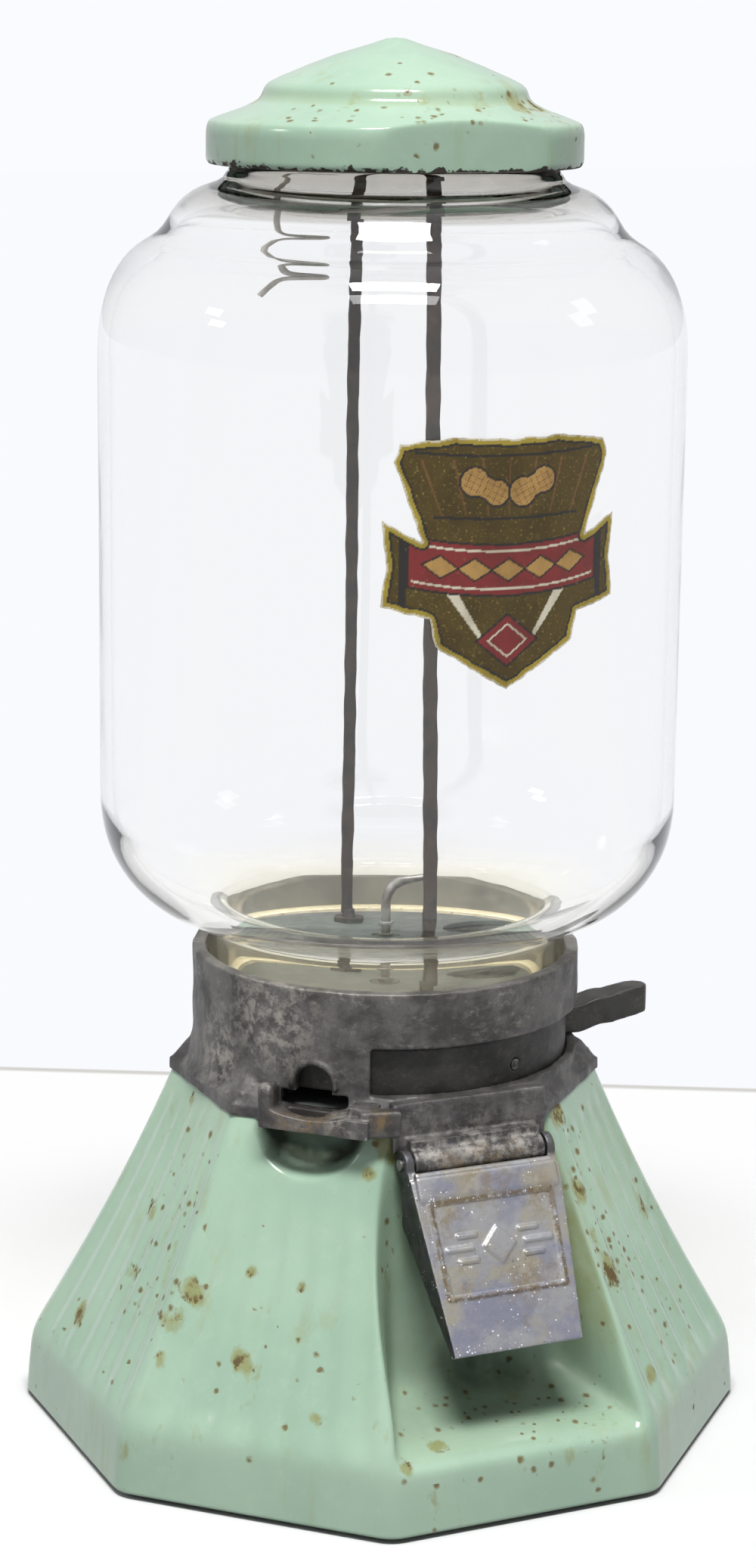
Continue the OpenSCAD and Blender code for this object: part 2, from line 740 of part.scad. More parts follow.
module wheel_plate() {
    color(casting) difference() {
        translate([0, 0, seat_z]) cylinder(r = plate_r, h = plate_t);
        translate([0, 0, seat_z - cut]) cylinder(r = bush_r + bolt_gap, h = plate_t + 2 * cut);
        at(0, pocket_at, seat_z - cut) cylinder(r = pocket_r + 0.5, h = plate_t + 2 * cut);
        at(drop_dir, coin_pocket_at, seat_z - cut) cylinder(r = coin_seat_r + 0.3, h = plate_t + 2 * cut);
        for (side = [-1, 1])
            translate([side * (chute_half + chute_ear_w / 2), -pocket_at, seat_z - cut])
                cylinder(r = screw_r + bolt_gap, h = plate_t);
    }
}

module shaft_bush() {
    color(brass) difference() {
        union() {
            translate([0, 0, bush_z]) cylinder(r = bush_r, h = plate_z - bush_z);
            translate([0, 0, seat_z - bush_flange_t]) cylinder(r = bush_flange_r, h = bush_flange_t);
        }
        translate([0, 0, bush_z - cut]) cylinder(r = shaft_r + run_gap, h = plate_z - bush_z + 2 * cut);
    }
}

// Outline of the chute in the YZ plane, drawn in by w, open at the throat and the mouth
function chute_outline(w) =
    let (low = flap_point(mouth_low, mouth_back))
    let (high = flap_point(mouth_top, mouth_back))
    let (open = w > 0 ? cut : 0)
    [
        [-chute_back - w, seat_z + open],
        [-chute_back - w, seat_z - throat_drop + w],
        [low[0] - open, low[1] + w * 1.2 - open * 0.62],
        [high[0] - open, high[1] - w * 1.1],
        [-chute_front + w, seat_z - throat_drop - w * 0.6],
        [-chute_front + w, seat_z + open]
    ];

module delivery_chute() {
    color(plain_steel) difference() {
        union() {
            along_x(-chute_half, chute_half, chute_outline(0));
            for (side = [-1, 1])
                translate([side * (chute_half + chute_ear_w / 2), -pocket_at, seat_z - chute_ear_t / 2])
                    cube([chute_ear_w + 2, chute_ear_d, chute_ear_t], center = true);
        }
        along_x(chute_wall - chute_half, chute_half - chute_wall, chute_outline(chute_wall));
        for (side = [-1, 1])
            translate([side * (chute_half + chute_ear_w / 2), -pocket_at, seat_z - chute_ear_t - cut])
                cylinder(r = screw_r + bolt_gap, h = chute_ear_t + 2 * cut);
    }
}

module chute_screws() {
    color(dark_steel)
        for (side = [-1, 1])
            translate([side * (chute_half + chute_ear_w / 2), -pocket_at, seat_z - chute_ear_t - 2])
                slot_screw(screw_r, chute_ear_t + plate_t - cut - 0.5, 1.9 * screw_r, 2);
}

module flap_pin() {
    color(plain_steel)
        translate([-flap_top_half - 0.6, hinge_y, hinge_z]) rotate([0, 90, 0])
            cylinder(r = flap_pin_r, h = 2 * flap_top_half + 1.2);
}

module hopper_floor() {
    color(casting) difference() {
        translate([0, 0, lip_z1]) cylinder(r = cup_r - pass_gap, h = floor_t);
        translate([0, 0, lip_z1 - cut]) cylinder(r = shaft_r + pass_gap, h = floor_t + 2 * cut);
        at(pocket_dir, pocket_at, lip_z1 - cut) cylinder(r = pocket_r, h = floor_t + 2 * cut);
        for (side = [-1, 1])
            translate([0, side * strap_at, lip_z1 - cut])
                cylinder(r = stud_r + bolt_gap, h = floor_t + 2 * cut);
    }
}

module floor_screws() {
    color(dark_steel)
        for (a = set_dirs)
            rotate([0, 0, a]) difference() {
                rod_y(screw_r, 0, -ring_r - 0.6, -cup_r + pass_gap, set_z);
                translate([-far, -ring_r - cut - 0.6, set_z - screw_r / 5])
                    cube([2 * far, cut + 0.4, 2 * screw_r / 5]);
            }
}

module globe_gasket() {
    color("#c19a66") translate([0, 0, floor_z]) difference() {
        cylinder(r = foot_r + 1.5, h = gasket_t);
        translate([0, 0, -cut]) cylinder(r = foot_r - glass_t - 2, h = gasket_t + 2 * cut);
    }
}

// Half outline of the globe from the foot to the rim, drawn in by w
function globe_side(w) = concat(
    [[foot_r - w, globe_z]],
    arc_points([foot_r - w, body_z], globe_r - foot_r, heel_h - (w > 0 ? w : 0), -90, 0, 14),
    arc_points([step_r - w, shoulder_z], globe_r - step_r, shoulder_h - w, 0, 84, 10),
    arc_points([neck_r - w, step_z], step_r - neck_r, step_h - w, 12, 90, 7),
    [[neck_r - w, rim_z]]
);

module glass_globe() {
    outer = globe_side(0);
    inner = globe_side(glass_t);
    color("#e6efe9", 0.35) rotate_extrude()
        polygon(concat(outer, [for (i = [len(inner) - 1:-1:0]) inner[i]]));
}

// Flat strap with a round threaded end at each side
module tie_strap(y) {
    flat_z0 = floor_z + nut_h + 2;
    flat_z1 = rim_z - 6;
    color(dark_steel) {
        translate([-strap_w / 2, y - strap_t / 2, flat_z0]) cube([strap_w, strap_t, flat_z1 - flat_z0]);
        translate([0, y, lip_z1]) cylinder(r = stud_r, h = flat_z0 - lip_z1 + 1);
        translate([0, y, flat_z1 - 1]) cylinder(r = stud_r, h = stud_top - flat_z1 + 1);
    }
}

module front_strap() {
    tie_strap(-strap_at);
}

module rear_strap() {
    tie_strap(strap_at);
}

module strap_nuts() {
    color(dark_steel)
        for (side = [-1, 1])
            translate([0, side * strap_at, floor_z]) hex_nut(nut_flats, stud_r + run_gap, nut_h);
}

module clamp_yoke() {
    color(dark_steel) translate([0, 0, rim_z]) difference() {
        intersection() {
            cylinder(r = yoke_r, h = yoke_t);
            translate([-far, -yoke_flat, 0]) cube([2 * far, 2 * yoke_flat, yoke_t]);
        }
        difference() {
            translate([0, 0, -cut]) cylinder(r = yoke_in_r, h = yoke_t + 2 * cut);
            translate([-yoke_bar / 2, -far, -2 * cut]) cube([yoke_bar, 2 * far, yoke_t + 4 * cut]);
        }
        for (side = [-1, 1])
            translate([0, side * strap_at, -cut]) cylinder(r = stud_r + bolt_gap, h = yoke_t + 2 * cut);
    }
}

module yoke_nuts() {
    color(dark_steel)
        for (side = [-1, 1])
            translate([0, side * strap_at, yoke_z]) hex_nut(nut_flats, stud_r + run_gap, nut_h);
}

module lock_barrel() {
    color(brass) difference() {
        union() {
            rod_y(lock_flange_r, 0, lock_face, lock_face + lock_flange_t, lock_z);
            rod_y(lock_r, 0, lock_in, lock_face, lock_z);
        }
        rod_y(plug_r + run_gap, 0, lock_in - cut, lock_face + lock_flange_t + cut, lock_z);
    }
}

module lock_nut() {
    color(brass) translate([0, lock_in + 2, lock_z]) rotate([-90, 0, 0])
        hex_nut(2 * lock_r + 6, lock_r + run_gap, lock_nut_t);
}

module lever_drum() {
    color(casting) {
        difference() {
            translate([0, 0, rotor_z0]) cylinder(r = drum_r, h = rotor_h);
            translate([0, 0, rotor_z0 - cut]) cylinder(r = drum_in_r, h = rotor_h + 2 * cut);
            rotate([0, 0, coin_dir])
                translate([-coin_seat_r, -far, rotor_z0 - cut])
                    cube([2 * coin_seat_r, far, coin_gap_h + cut - pass_gap]);
            drum_pin_holes();
        }
        lever_arm();
    }
}

// Lever from the drum's face to its swept and upturned tip
module lever_arm() {
    mid_r = drum_r + (lever_reach - drum_r) * lever_mid;
    mid_d = (lever_root_d + lever_tip_d) / 2;
    sweep = 3;
    rotate([0, 0, lever_dir]) {
        hull() {
            translate([-lever_root_d / 2, -drum_r - 1, lever_z0]) cube([lever_root_d, 3, lever_h]);
            translate([-mid_d / 2 + sweep / 2, -mid_r, lever_z0]) cube([mid_d, 1, lever_h]);
        }
        hull() {
            translate([-mid_d / 2 + sweep / 2, -mid_r, lever_z0]) cube([mid_d, 1, lever_h]);
            translate([sweep, -lever_reach + lever_tip_d / 2, lever_z0 + lever_upturn])
                cylinder(d = lever_tip_d, h = lever_h, $fn = 32);
        }
    }
}

module drum_pin_holes() {
    for (a = pin_dirs)
        rotate([0, 0, a])
            rod_y(drum_pin_r + run_gap, 0, -drum_r - cut, -wheel_r + drum_pin_in, drum_pin_z);
}

module measuring_wheel() {
    color(plain_steel) difference() {
        translate([0, 0, rotor_z0]) cylinder(r = wheel_r, h = rotor_h);
        translate([0, 0, rotor_z0 - cut]) cylinder(r = shaft_r + run_gap, h = rotor_h + 2 * cut);
        at(pocket_dir, pocket_at, rotor_z0 - cut) cylinder(r = pocket_r, h = rotor_h + 2 * cut);
        at(coin_dir, coin_pocket_at, rotor_z0 - cut)
            cylinder(r = coin_seat_r, h = coin_gap_h + cut - pass_gap);
        rotate([0, 0, coin_dir])
            translate([-coin_seat_r, -far, rotor_z0 - cut])
                cube([2 * coin_seat_r, far - coin_pocket_at, coin_gap_h + cut - pass_gap]);
        drum_pin_holes();
    }
}

module drum_pins() {
    color(plain_steel)
        for (a = pin_dirs)
            rotate([0, 0, a])
                rod_y(drum_pin_r, 0, -drum_r + run_gap, -wheel_r + drum_pin_in - run_gap, drum_pin_z);
}

module wheel_shaft() {
    color(plain_steel) translate([0, 0, arm_z0 - 2]) cylinder(r = shaft_r, h = floor_z - arm_z0 + 2);
}

module spring_arm() {
    color(plain_steel) translate([0, 0, arm_z0]) difference() {
        union() {
            cylinder(r = arm_r, h = arm_t);
            translate([-2.5, -arm_reach, 0]) cube([5, arm_reach, arm_t]);
            translate([0, -arm_reach, 0]) cylinder(r = 2.5, h = arm_t);
            translate([0, -arm_reach, 0]) cylinder(r = 1.4, h = arm_t + 4);
        }
        translate([0, 0, -cut]) cylinder(r = shaft_r + run_gap, h = arm_t + 2 * cut);
        rod_y(screw_r + bolt_gap, 0, 0, arm_r + cut, arm_t / 2);
    }
}

module arm_screw() {
    color(dark_steel) rod_y(screw_r, 0, shaft_r + run_gap, arm_r + 1, arm_z0 + arm_t / 2);
}

// Centre line of the return spring, t in turns
function spring_point(t) = [spring_r * sin(360 * t), -spring_r * cos(360 * t), spring_z0 + spring_pitch * t];

module return_spring() {
    count = spring_rings * spring_turns;
    line = [for (i = [0:count]) spring_point(i / spring_rings)];
    pts = [
        for (i = [0:count])
            let (a = 360 * i / spring_rings)
            let (out = [sin(a), -cos(a), 0])
            for (k = [0:spring_sides - 1])
                let (b = 360 * k / spring_sides)
                line[i] + spring_wire / 2 * (cos(b) * out + sin(b) * [0, 0, 1])
    ];
    sides = [
        for (i = [0:count - 1], k = [0:spring_sides - 1])
            let (a = i * spring_sides + k, b = i * spring_sides + (k + 1) % spring_sides)
            each [[a, a + spring_sides, b + spring_sides], [a, b + spring_sides, b]]
    ];
    start_cap = [for (k = [1:spring_sides - 2]) [0, k, k + 1]];
    last = count * spring_sides;
    end_cap = [for (k = [1:spring_sides - 2]) [last, last + k + 1, last + k]];
    echo(spring_gap = spring_pitch - spring_wire);
    color(dark_steel) polyhedron(points = pts, faces = concat(sides, start_cap, end_cap));
}

module agitator() {
    wire = 1.4;
    stem = 10;
    bend = 7;
    arc = 70;
    tip = 6;
    color(plain_steel) translate([0, 0, floor_z]) {
        cylinder(r = wire + 1.8, h = 2);
        cylinder(r = wire, h = stem);
        translate([0, 0, stem - 2]) cylinder(r = wire + 0.9, h = 2);
        rotate([0, 0, agitator_dir]) translate([bend, 0, stem]) rotate([90, 0, 0])
            rotate([0, 0, 180 - arc]) {
                rotate_extrude(angle = arc) translate([bend, 0]) circle(r = wire);
                translate([bend, 0, 0]) rotate([90, 0, 0]) cylinder(r = wire, h = tip);
                translate([bend, 0, 0]) sphere(r = wire);
            }
        translate([0, 0, stem]) sphere(r = wire);
    }
}

module chute_flap() {
    side_lean = atan((flap_top_half - flap_low_half) / flap_len);
    color("#8f8d9c") difference() {
        union() {
            translate([0, hinge_y, hinge_z]) rotate([-flap_lean, 0, 0]) {
                translate([0, -flap_face + flap_t, 0]) rotate([90, 0, 0]) linear_extrude(flap_t)
                    polygon([[-flap_top_half, -flap_top_drop], [flap_top_half, -flap_top_drop],
                        [flap_low_half, -flap_len], [-flap_low_half, -flap_len]]);
                for (side = [-1, 1]) {
                    translate([side * (flap_top_half - cheek_t / 2), 0, 0])
                        rotate([0, side * side_lean, 0])
                            along_x(-cheek_t / 2, cheek_t / 2, [[-flap_face + 1, 0], [0, 0],
                                [cheek_d - flap_face, -cheek_d], [flap_t - flap_face, -flap_len + 1],
                                [-flap_face + 1, -flap_len + 1]]);
                    translate([side * (flap_top_half - cheek_t / 2), 0, 0]) rotate([0, 90, 0])
                        cylinder(r = barrel_r, h = cheek_t, center = true);
                }
                flap_border();
            }
        }
        translate([-far, hinge_y, hinge_z]) rotate([0, 90, 0])
            cylinder(r = flap_pin_r + run_gap, h = 2 * far);
    }
}

// Raised border on the face of the flap
module flap_border() {
    top = -10;
    low = -35;
    half_top = flap_top_half - 3.6;
    half_low = half_top - 1.2;
    line = 0.9;
    translate([0, -flap_face, 0]) rotate([90, 0, 0]) linear_extrude(border_h) difference() {
        polygon([[-half_top, top], [half_top, top], [half_low, low], [-half_low, low]]);
        polygon([[-half_top + line, top - line], [half_top - line, top - line],
            [half_low - line, low + line], [-half_low + line, low + line]]);
    }
}

// Half outline of the lid, drawn in by w
function lid_side(w) = concat(
    [[lid_r - w, lid_z - (w > 0 ? cut : 0)], [lid_r - w, lid_z + lid_rim_h - w]],
    [for (s = lid_steps) [max(s[0] * lid_r - w * (1 - s[1]), 0), lid_z + lid_rim_h + s[1] * lid_crown_h - w]],
    [[0, lid_z + lid_rim_h + lid_crown_h - w], [0, lid_z - (w > 0 ? cut : 0)]]
);

// Lid body between its two flats
module lid_body(w) {
    intersection() {
        rotate_extrude() polygon(lid_side(w));
        translate([-far, w - lid_flat, 0]) cube([2 * far, 2 * (lid_flat - w), 2 * far]);
    }
}

module lid() {
    color(enamel) difference() {
        union() {
            difference() {
                lid_body(0);
                lid_body(lid_wall);
            }
            difference() {
                intersection() {
                    translate([0, 0, yoke_z])
                        cylinder(r = lid_in_r + run_gap, h = lid_z + lid_rim_h - yoke_z);
                    translate([-far, -lid_in_flat, 0]) cube([2 * far, 2 * lid_in_flat, 2 * far]);
                }
                cylinder(r = shoulder_in_r, h = 2 * far);
            }
            intersection() {
                lid_body(lid_wall / 2);
                translate([catch_x, catch_y, catch_boss_z]) cylinder(r = catch_boss_r, h = far);
            }
        }
        translate([catch_x, catch_y, lid_z]) cylinder(r = catch_wire / 2 + bolt_gap, h = catch_top - lid_z);
        catch_pin(bolt_gap);
    }
}

// Cross pin that holds the catch wire in the lid's boss, grown by g
module catch_pin(g) {
    reach = catch_boss_r + (g > 0 ? cut : pass_gap);
    rod_y(catch_pin_r + g, catch_x, catch_y - reach, catch_y + reach, (catch_boss_z + catch_top) / 2);
}

module lid_catch() {
    wire_r = catch_wire / 2;
    knee_z = lid_z - catch_drop;
    color(dark_steel) difference() {
        union() {
            translate([catch_x, catch_y, knee_z]) cylinder(r = wire_r, h = catch_top - knee_z);
            translate([catch_x, catch_y, knee_z]) sphere(r = wire_r);
            translate([catch_bend_x, catch_y, knee_z]) rotate([0, 90, 0])
                cylinder(r = wire_r, h = catch_x - catch_bend_x);
            translate([catch_bend_x, catch_y, knee_z]) sphere(r = wire_r);
            translate([catch_bend_x, catch_y, knee_z]) rotate([0, 180 + catch_tip_lean, 0])
                cylinder(r = wire_r, h = catch_tip);
        }
        catch_pin(run_gap);
    }
}

module catch_rivet() {
    color(dark_steel) catch_pin(0);
}

module lock_plug() {
    plug_y0 = cam_y - 3;
    color(plain_steel) difference() {
        union() {
            rod_y(plug_r, 0, lock_in, lock_face + lock_flange_t + 0.8, lock_z);
            rod_y(plug_r - 2, 0, plug_y0 - 2, lock_in, lock_z);
        }
        translate([-key_w / 2, lock_face - key_depth, lock_z - key_h / 2]) cube([key_w, far, key_h]);
    }
}

module lock_cam() {
    color(plain_steel) difference() {
        union() {
            rod_y(cam_w / 2 + 1, 0, cam_y, cam_y + cam_t, lock_z);
            translate([0, cam_y, lock_z - cam_w / 2]) cube([cam_reach, cam_t, cam_w]);
        }
        rod_y(plug_r - 2 + run_gap, 0, cam_y - cut, cam_y + cam_t + cut, lock_z);
    }
}

module cam_nut() {
    color(plain_steel) translate([0, cam_y - 3, lock_z]) rotate([-90, 0, 0])
        hex_nut(2 * plug_r, plug_r - 2 + run_gap, 3);
}

base_shell();
bottom_plate();
bottom_screws();
foot_pads();
mechanism_body();
body_bolts();
wheel_plate();
shaft_bush();
delivery_chute();
chute_screws();
flap_pin();
hopper_floor();
floor_screws();
globe_gasket();
glass_globe();
front_strap();
rear_strap();
strap_nuts();
clamp_yoke();
yoke_nuts();
lock_barrel();
lock_nut();
lever_drum();
measuring_wheel();
drum_pins();
wheel_shaft();
spring_arm();
arm_screw();
return_spring();
agitator();
chute_flap();
lid();
lid_catch();
catch_rivet();
lock_plug();
lock_cam();
cam_nut();
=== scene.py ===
"""Looks of the counter vending machine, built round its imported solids. Sizes are in millimetres."""

from __future__ import annotations

import logging
import math
from abc import ABC, abstractmethod
from collections.abc import Callable, Sequence
from dataclasses import dataclass
from enum import Enum

import bpy
import numpy as np
from mathutils import Matrix, Vector


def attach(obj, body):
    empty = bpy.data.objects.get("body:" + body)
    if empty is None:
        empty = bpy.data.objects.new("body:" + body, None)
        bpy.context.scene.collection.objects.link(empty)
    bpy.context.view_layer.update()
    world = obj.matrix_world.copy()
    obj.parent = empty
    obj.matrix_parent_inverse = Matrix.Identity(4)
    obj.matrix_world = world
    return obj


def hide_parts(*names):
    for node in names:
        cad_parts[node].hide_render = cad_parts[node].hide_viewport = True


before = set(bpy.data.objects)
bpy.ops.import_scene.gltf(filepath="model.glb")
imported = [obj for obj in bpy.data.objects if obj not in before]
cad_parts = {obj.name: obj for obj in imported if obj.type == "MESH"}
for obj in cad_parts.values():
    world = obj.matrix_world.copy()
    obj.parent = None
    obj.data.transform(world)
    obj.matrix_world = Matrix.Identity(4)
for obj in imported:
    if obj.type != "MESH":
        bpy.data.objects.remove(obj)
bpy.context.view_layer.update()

LOG = logging.getLogger("vending_machine")
MM = 0.001
EIGHTH = math.radians(45)
HALF_EIGHTH = math.radians(22.5)
DIAGONAL = math.sqrt(0.5)

Array = np.ndarray
Colour = tuple[float, float, float, float]
Material = bpy.types.Material
Move = Callable[[Array], Array]
Outline = Sequence[tuple[float, float]]
Patches = tuple[tuple[float, ...], ...]
Piece = bpy.types.Object
Point = tuple[float, float, float]
Socket = bpy.types.NodeSocket
Span = tuple[float, float]

# Places of stains and specks: x, y, z, reach and, for enamel, strength
BASE_STAINS = (
    (-72.5, -34.7, 53.8, 9, 0.36), (-78.3, -34, 46.4, 7, 0.34), (-82.1, -37, 37.1, 6, 0.28),
    (-48.5, -54.4, 59, 5, 0.28), (-58.8, -43.9, 60.4, 3.8, 0.3), (-64.4, -52.6, 39.4, 6, 0.3),
    (-51.3, -72.8, 27.9, 5, 0.27), (-29, -59.5, 59, 6.5, 0.25), (-29.1, -54.6, 87.8, 4.5, 0.3),
    (-55.8, 3.2, 94.5, 4, 0.27), (-70.1, 1.2, 65.6, 6.5, 0.27), (-77.1, -4.3, 49.9, 6, 0.27),
    (-86.2, 14.3, 31.4, 7, 0.26), (32.7, -62.2, 63.1, 7.5, 0.32), (38.9, -67.8, 54.5, 8, 0.3),
    (28.6, -50, 95.8, 8, 0.36), (33.1, -59, 75.7, 7, 0.3), (-21.4, -85.9, 21, 5.5, 0.26),
    (-34.1, -90.8, 19.7, 4.5, 0.26), (45.1, -79.4, 28.3, 6, 0.26), (-22.8, -53.4, 91.1, 6, 0.34),
    (-24.1, -52.7, 96.4, 5, 0.36), (58, 62, 58, 7, 0.26), (-40, 78, 40, 9, 0.24),
    (66, -40, 62, 8, 0.24), (84, 8, 36, 9, 0.22),
)
BASE_SPECKS = (
    (-8, -72, 25, 24, 0.7), (10, -80, 22, 20, 0.8), (22, -84, 22, 18, 0.6), (12, -66, 28, 16, 0.6),
    (46, -62, 48, 30, 0.6), (36, -56, 80, 24, 0.7), (-74, -14, 50, 32, 0.75), (-66, -10, 80, 26, 0.65),
    (-54, -58, 44, 34, 0.16), (56, -54, 34, 24, 0.5), (40, 74, 44, 34, 0.4), (-60, 58, 50, 34, 0.4),
)
# Painted shade under the delivery flap, with some soot: x, y, z, reach and strength
BASE_SHADE_AND_SOOT = ((-2, -60, 31, 22, 0.8), (8, -63, 30, 18, 0.7), (0, -55, 76, 36, 0.75))
LID_STAINS = (
    (21, -32.9, 366.9, 9, 0.24), (8.9, -35.3, 368.9, 8, 0.2), (-8.9, -36.7, 368, 7, 0.2),
    (-24.5, -29.1, 367.8, 8, 0.18), (30, -24, 366, 9, 0.26), (14, -8, 379, 7, 0.22),
    (-34, 12, 366, 9, 0.22), (20, 28, 369, 10, 0.2), (-10, 36, 366, 8, 0.2),
)
LID_SPECKS = (
    (26, -33, 366, 18, 0.9), (42, -18, 362, 16, 0.9), (-8, -38, 366, 20, 0.75),
    (-30, -28, 366, 16, 0.65), (16, -6, 379, 12, 0.8), (-20, 34, 366, 24, 0.5),
)
COLLAR_OXIDE = (
    (-46, -28, 124, 24), (-52, -8, 112, 18), (0, -62, 91, 20), (-13, -62, 91, 17),
    (13, -62, 91, 17), (-36, -52, 102, 9), (-45, -47, 106, 8), (-50, -36, 111, 5),
)
COLLAR_DIRT = (
    (-44, -46, 104, 13), (0, -62.5, 88.5, 9), (-9, -62.5, 88.5, 8), (10, -62.5, 88.5, 8), (-27, -57, 103, 5),
)
FLAP_STAINS = ((-14, -72, 79, 10), (14, -70, 82, 9), (6, -80, 62, 12), (0, -66, 86, 14))


def srgb(red: int, green: int, blue: int) -> Colour:
    """Linear colour of a paint chip given in 0 to 255 steps."""
    steps = [c / 255 for c in (red, green, blue)]
    line = [c / 12.92 if c <= 0.04045 else ((c + 0.055) / 1.055) ** 2.4 for c in steps]
    return (line[0], line[1], line[2], 1.0)


def soft_min(a: Array, b: Array, round_mm: float) -> Array:
    """Lesser of two surfaces with a rounded join."""
    return (a + b - np.sqrt((a - b) ** 2 + round_mm**2)) / 2


def soft_max(a: Array, b: Array, round_mm: float) -> Array:
    """Greater of two surfaces with a rounded join."""
    return -soft_min(-a, -b, round_mm)


def ramp(x: Array, low: float, high: float) -> Array:
    """Smooth step from 0 at low to 1 at high."""
    t = np.clip((x - low) / (high - low), 0, 1)
    return t * t * (3 - 2 * t)


def placed(*axes: Array) -> Array:
    """Points by their coordinates along each axis."""
    return np.stack(axes, axis=1)


def chance(number: Array) -> Array:
    """Share from 0 to 1 that is scattered, but always the same for a number."""
    return np.modf(np.abs(np.sin(number * 12.9898)) * 43.7)[0]


def to_front_left(x: Array, y: Array) -> tuple[Array, Array]:
    """Distance along the front left side, towards the right, and out from the axis to it."""
    return (x - y) * DIAGONAL, -(x + y) * DIAGONAL


def lengths(path: Array) -> Array:
    """Length of a path of points up to each of them."""
    return np.concatenate([[0], np.cumsum(np.linalg.norm(np.diff(path, axis=0), axis=1))])


def spread(path: Array, count: int) -> Array:
    """Evenly spaced points along a path."""
    far = lengths(path)
    even = np.linspace(0, far[-1], count)
    return placed(*(np.interp(even, far, axis) for axis in path.T))


def relax(line: Array) -> None:
    """Softens the bends of a line of points in place."""
    line[1:-1] = (line[:-2] + 2 * line[1:-1] + line[2:]) / 4


class Body(Enum):
    """Bodies of the machine that carry new pieces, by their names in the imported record."""

    MACHINE = "machine"
    ROTOR = "rotor"
    FLAP = "flap"
    LID = "lid"


class Slot(Enum):
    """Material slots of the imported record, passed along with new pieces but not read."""

    ENAMEL = "enamel"
    CASTING = "die_casting"
    FLAP = "flap_metal"
    RUST = "rusty_steel"
    PLAIN = "plain_steel"
    BRASS = "brass"
    GLASS = "glass"


class Part(Enum):
    """Parts of a mesh that can be selected."""

    POINT = "VERT"
    EDGE = "EDGE"
    FACE = "FACE"


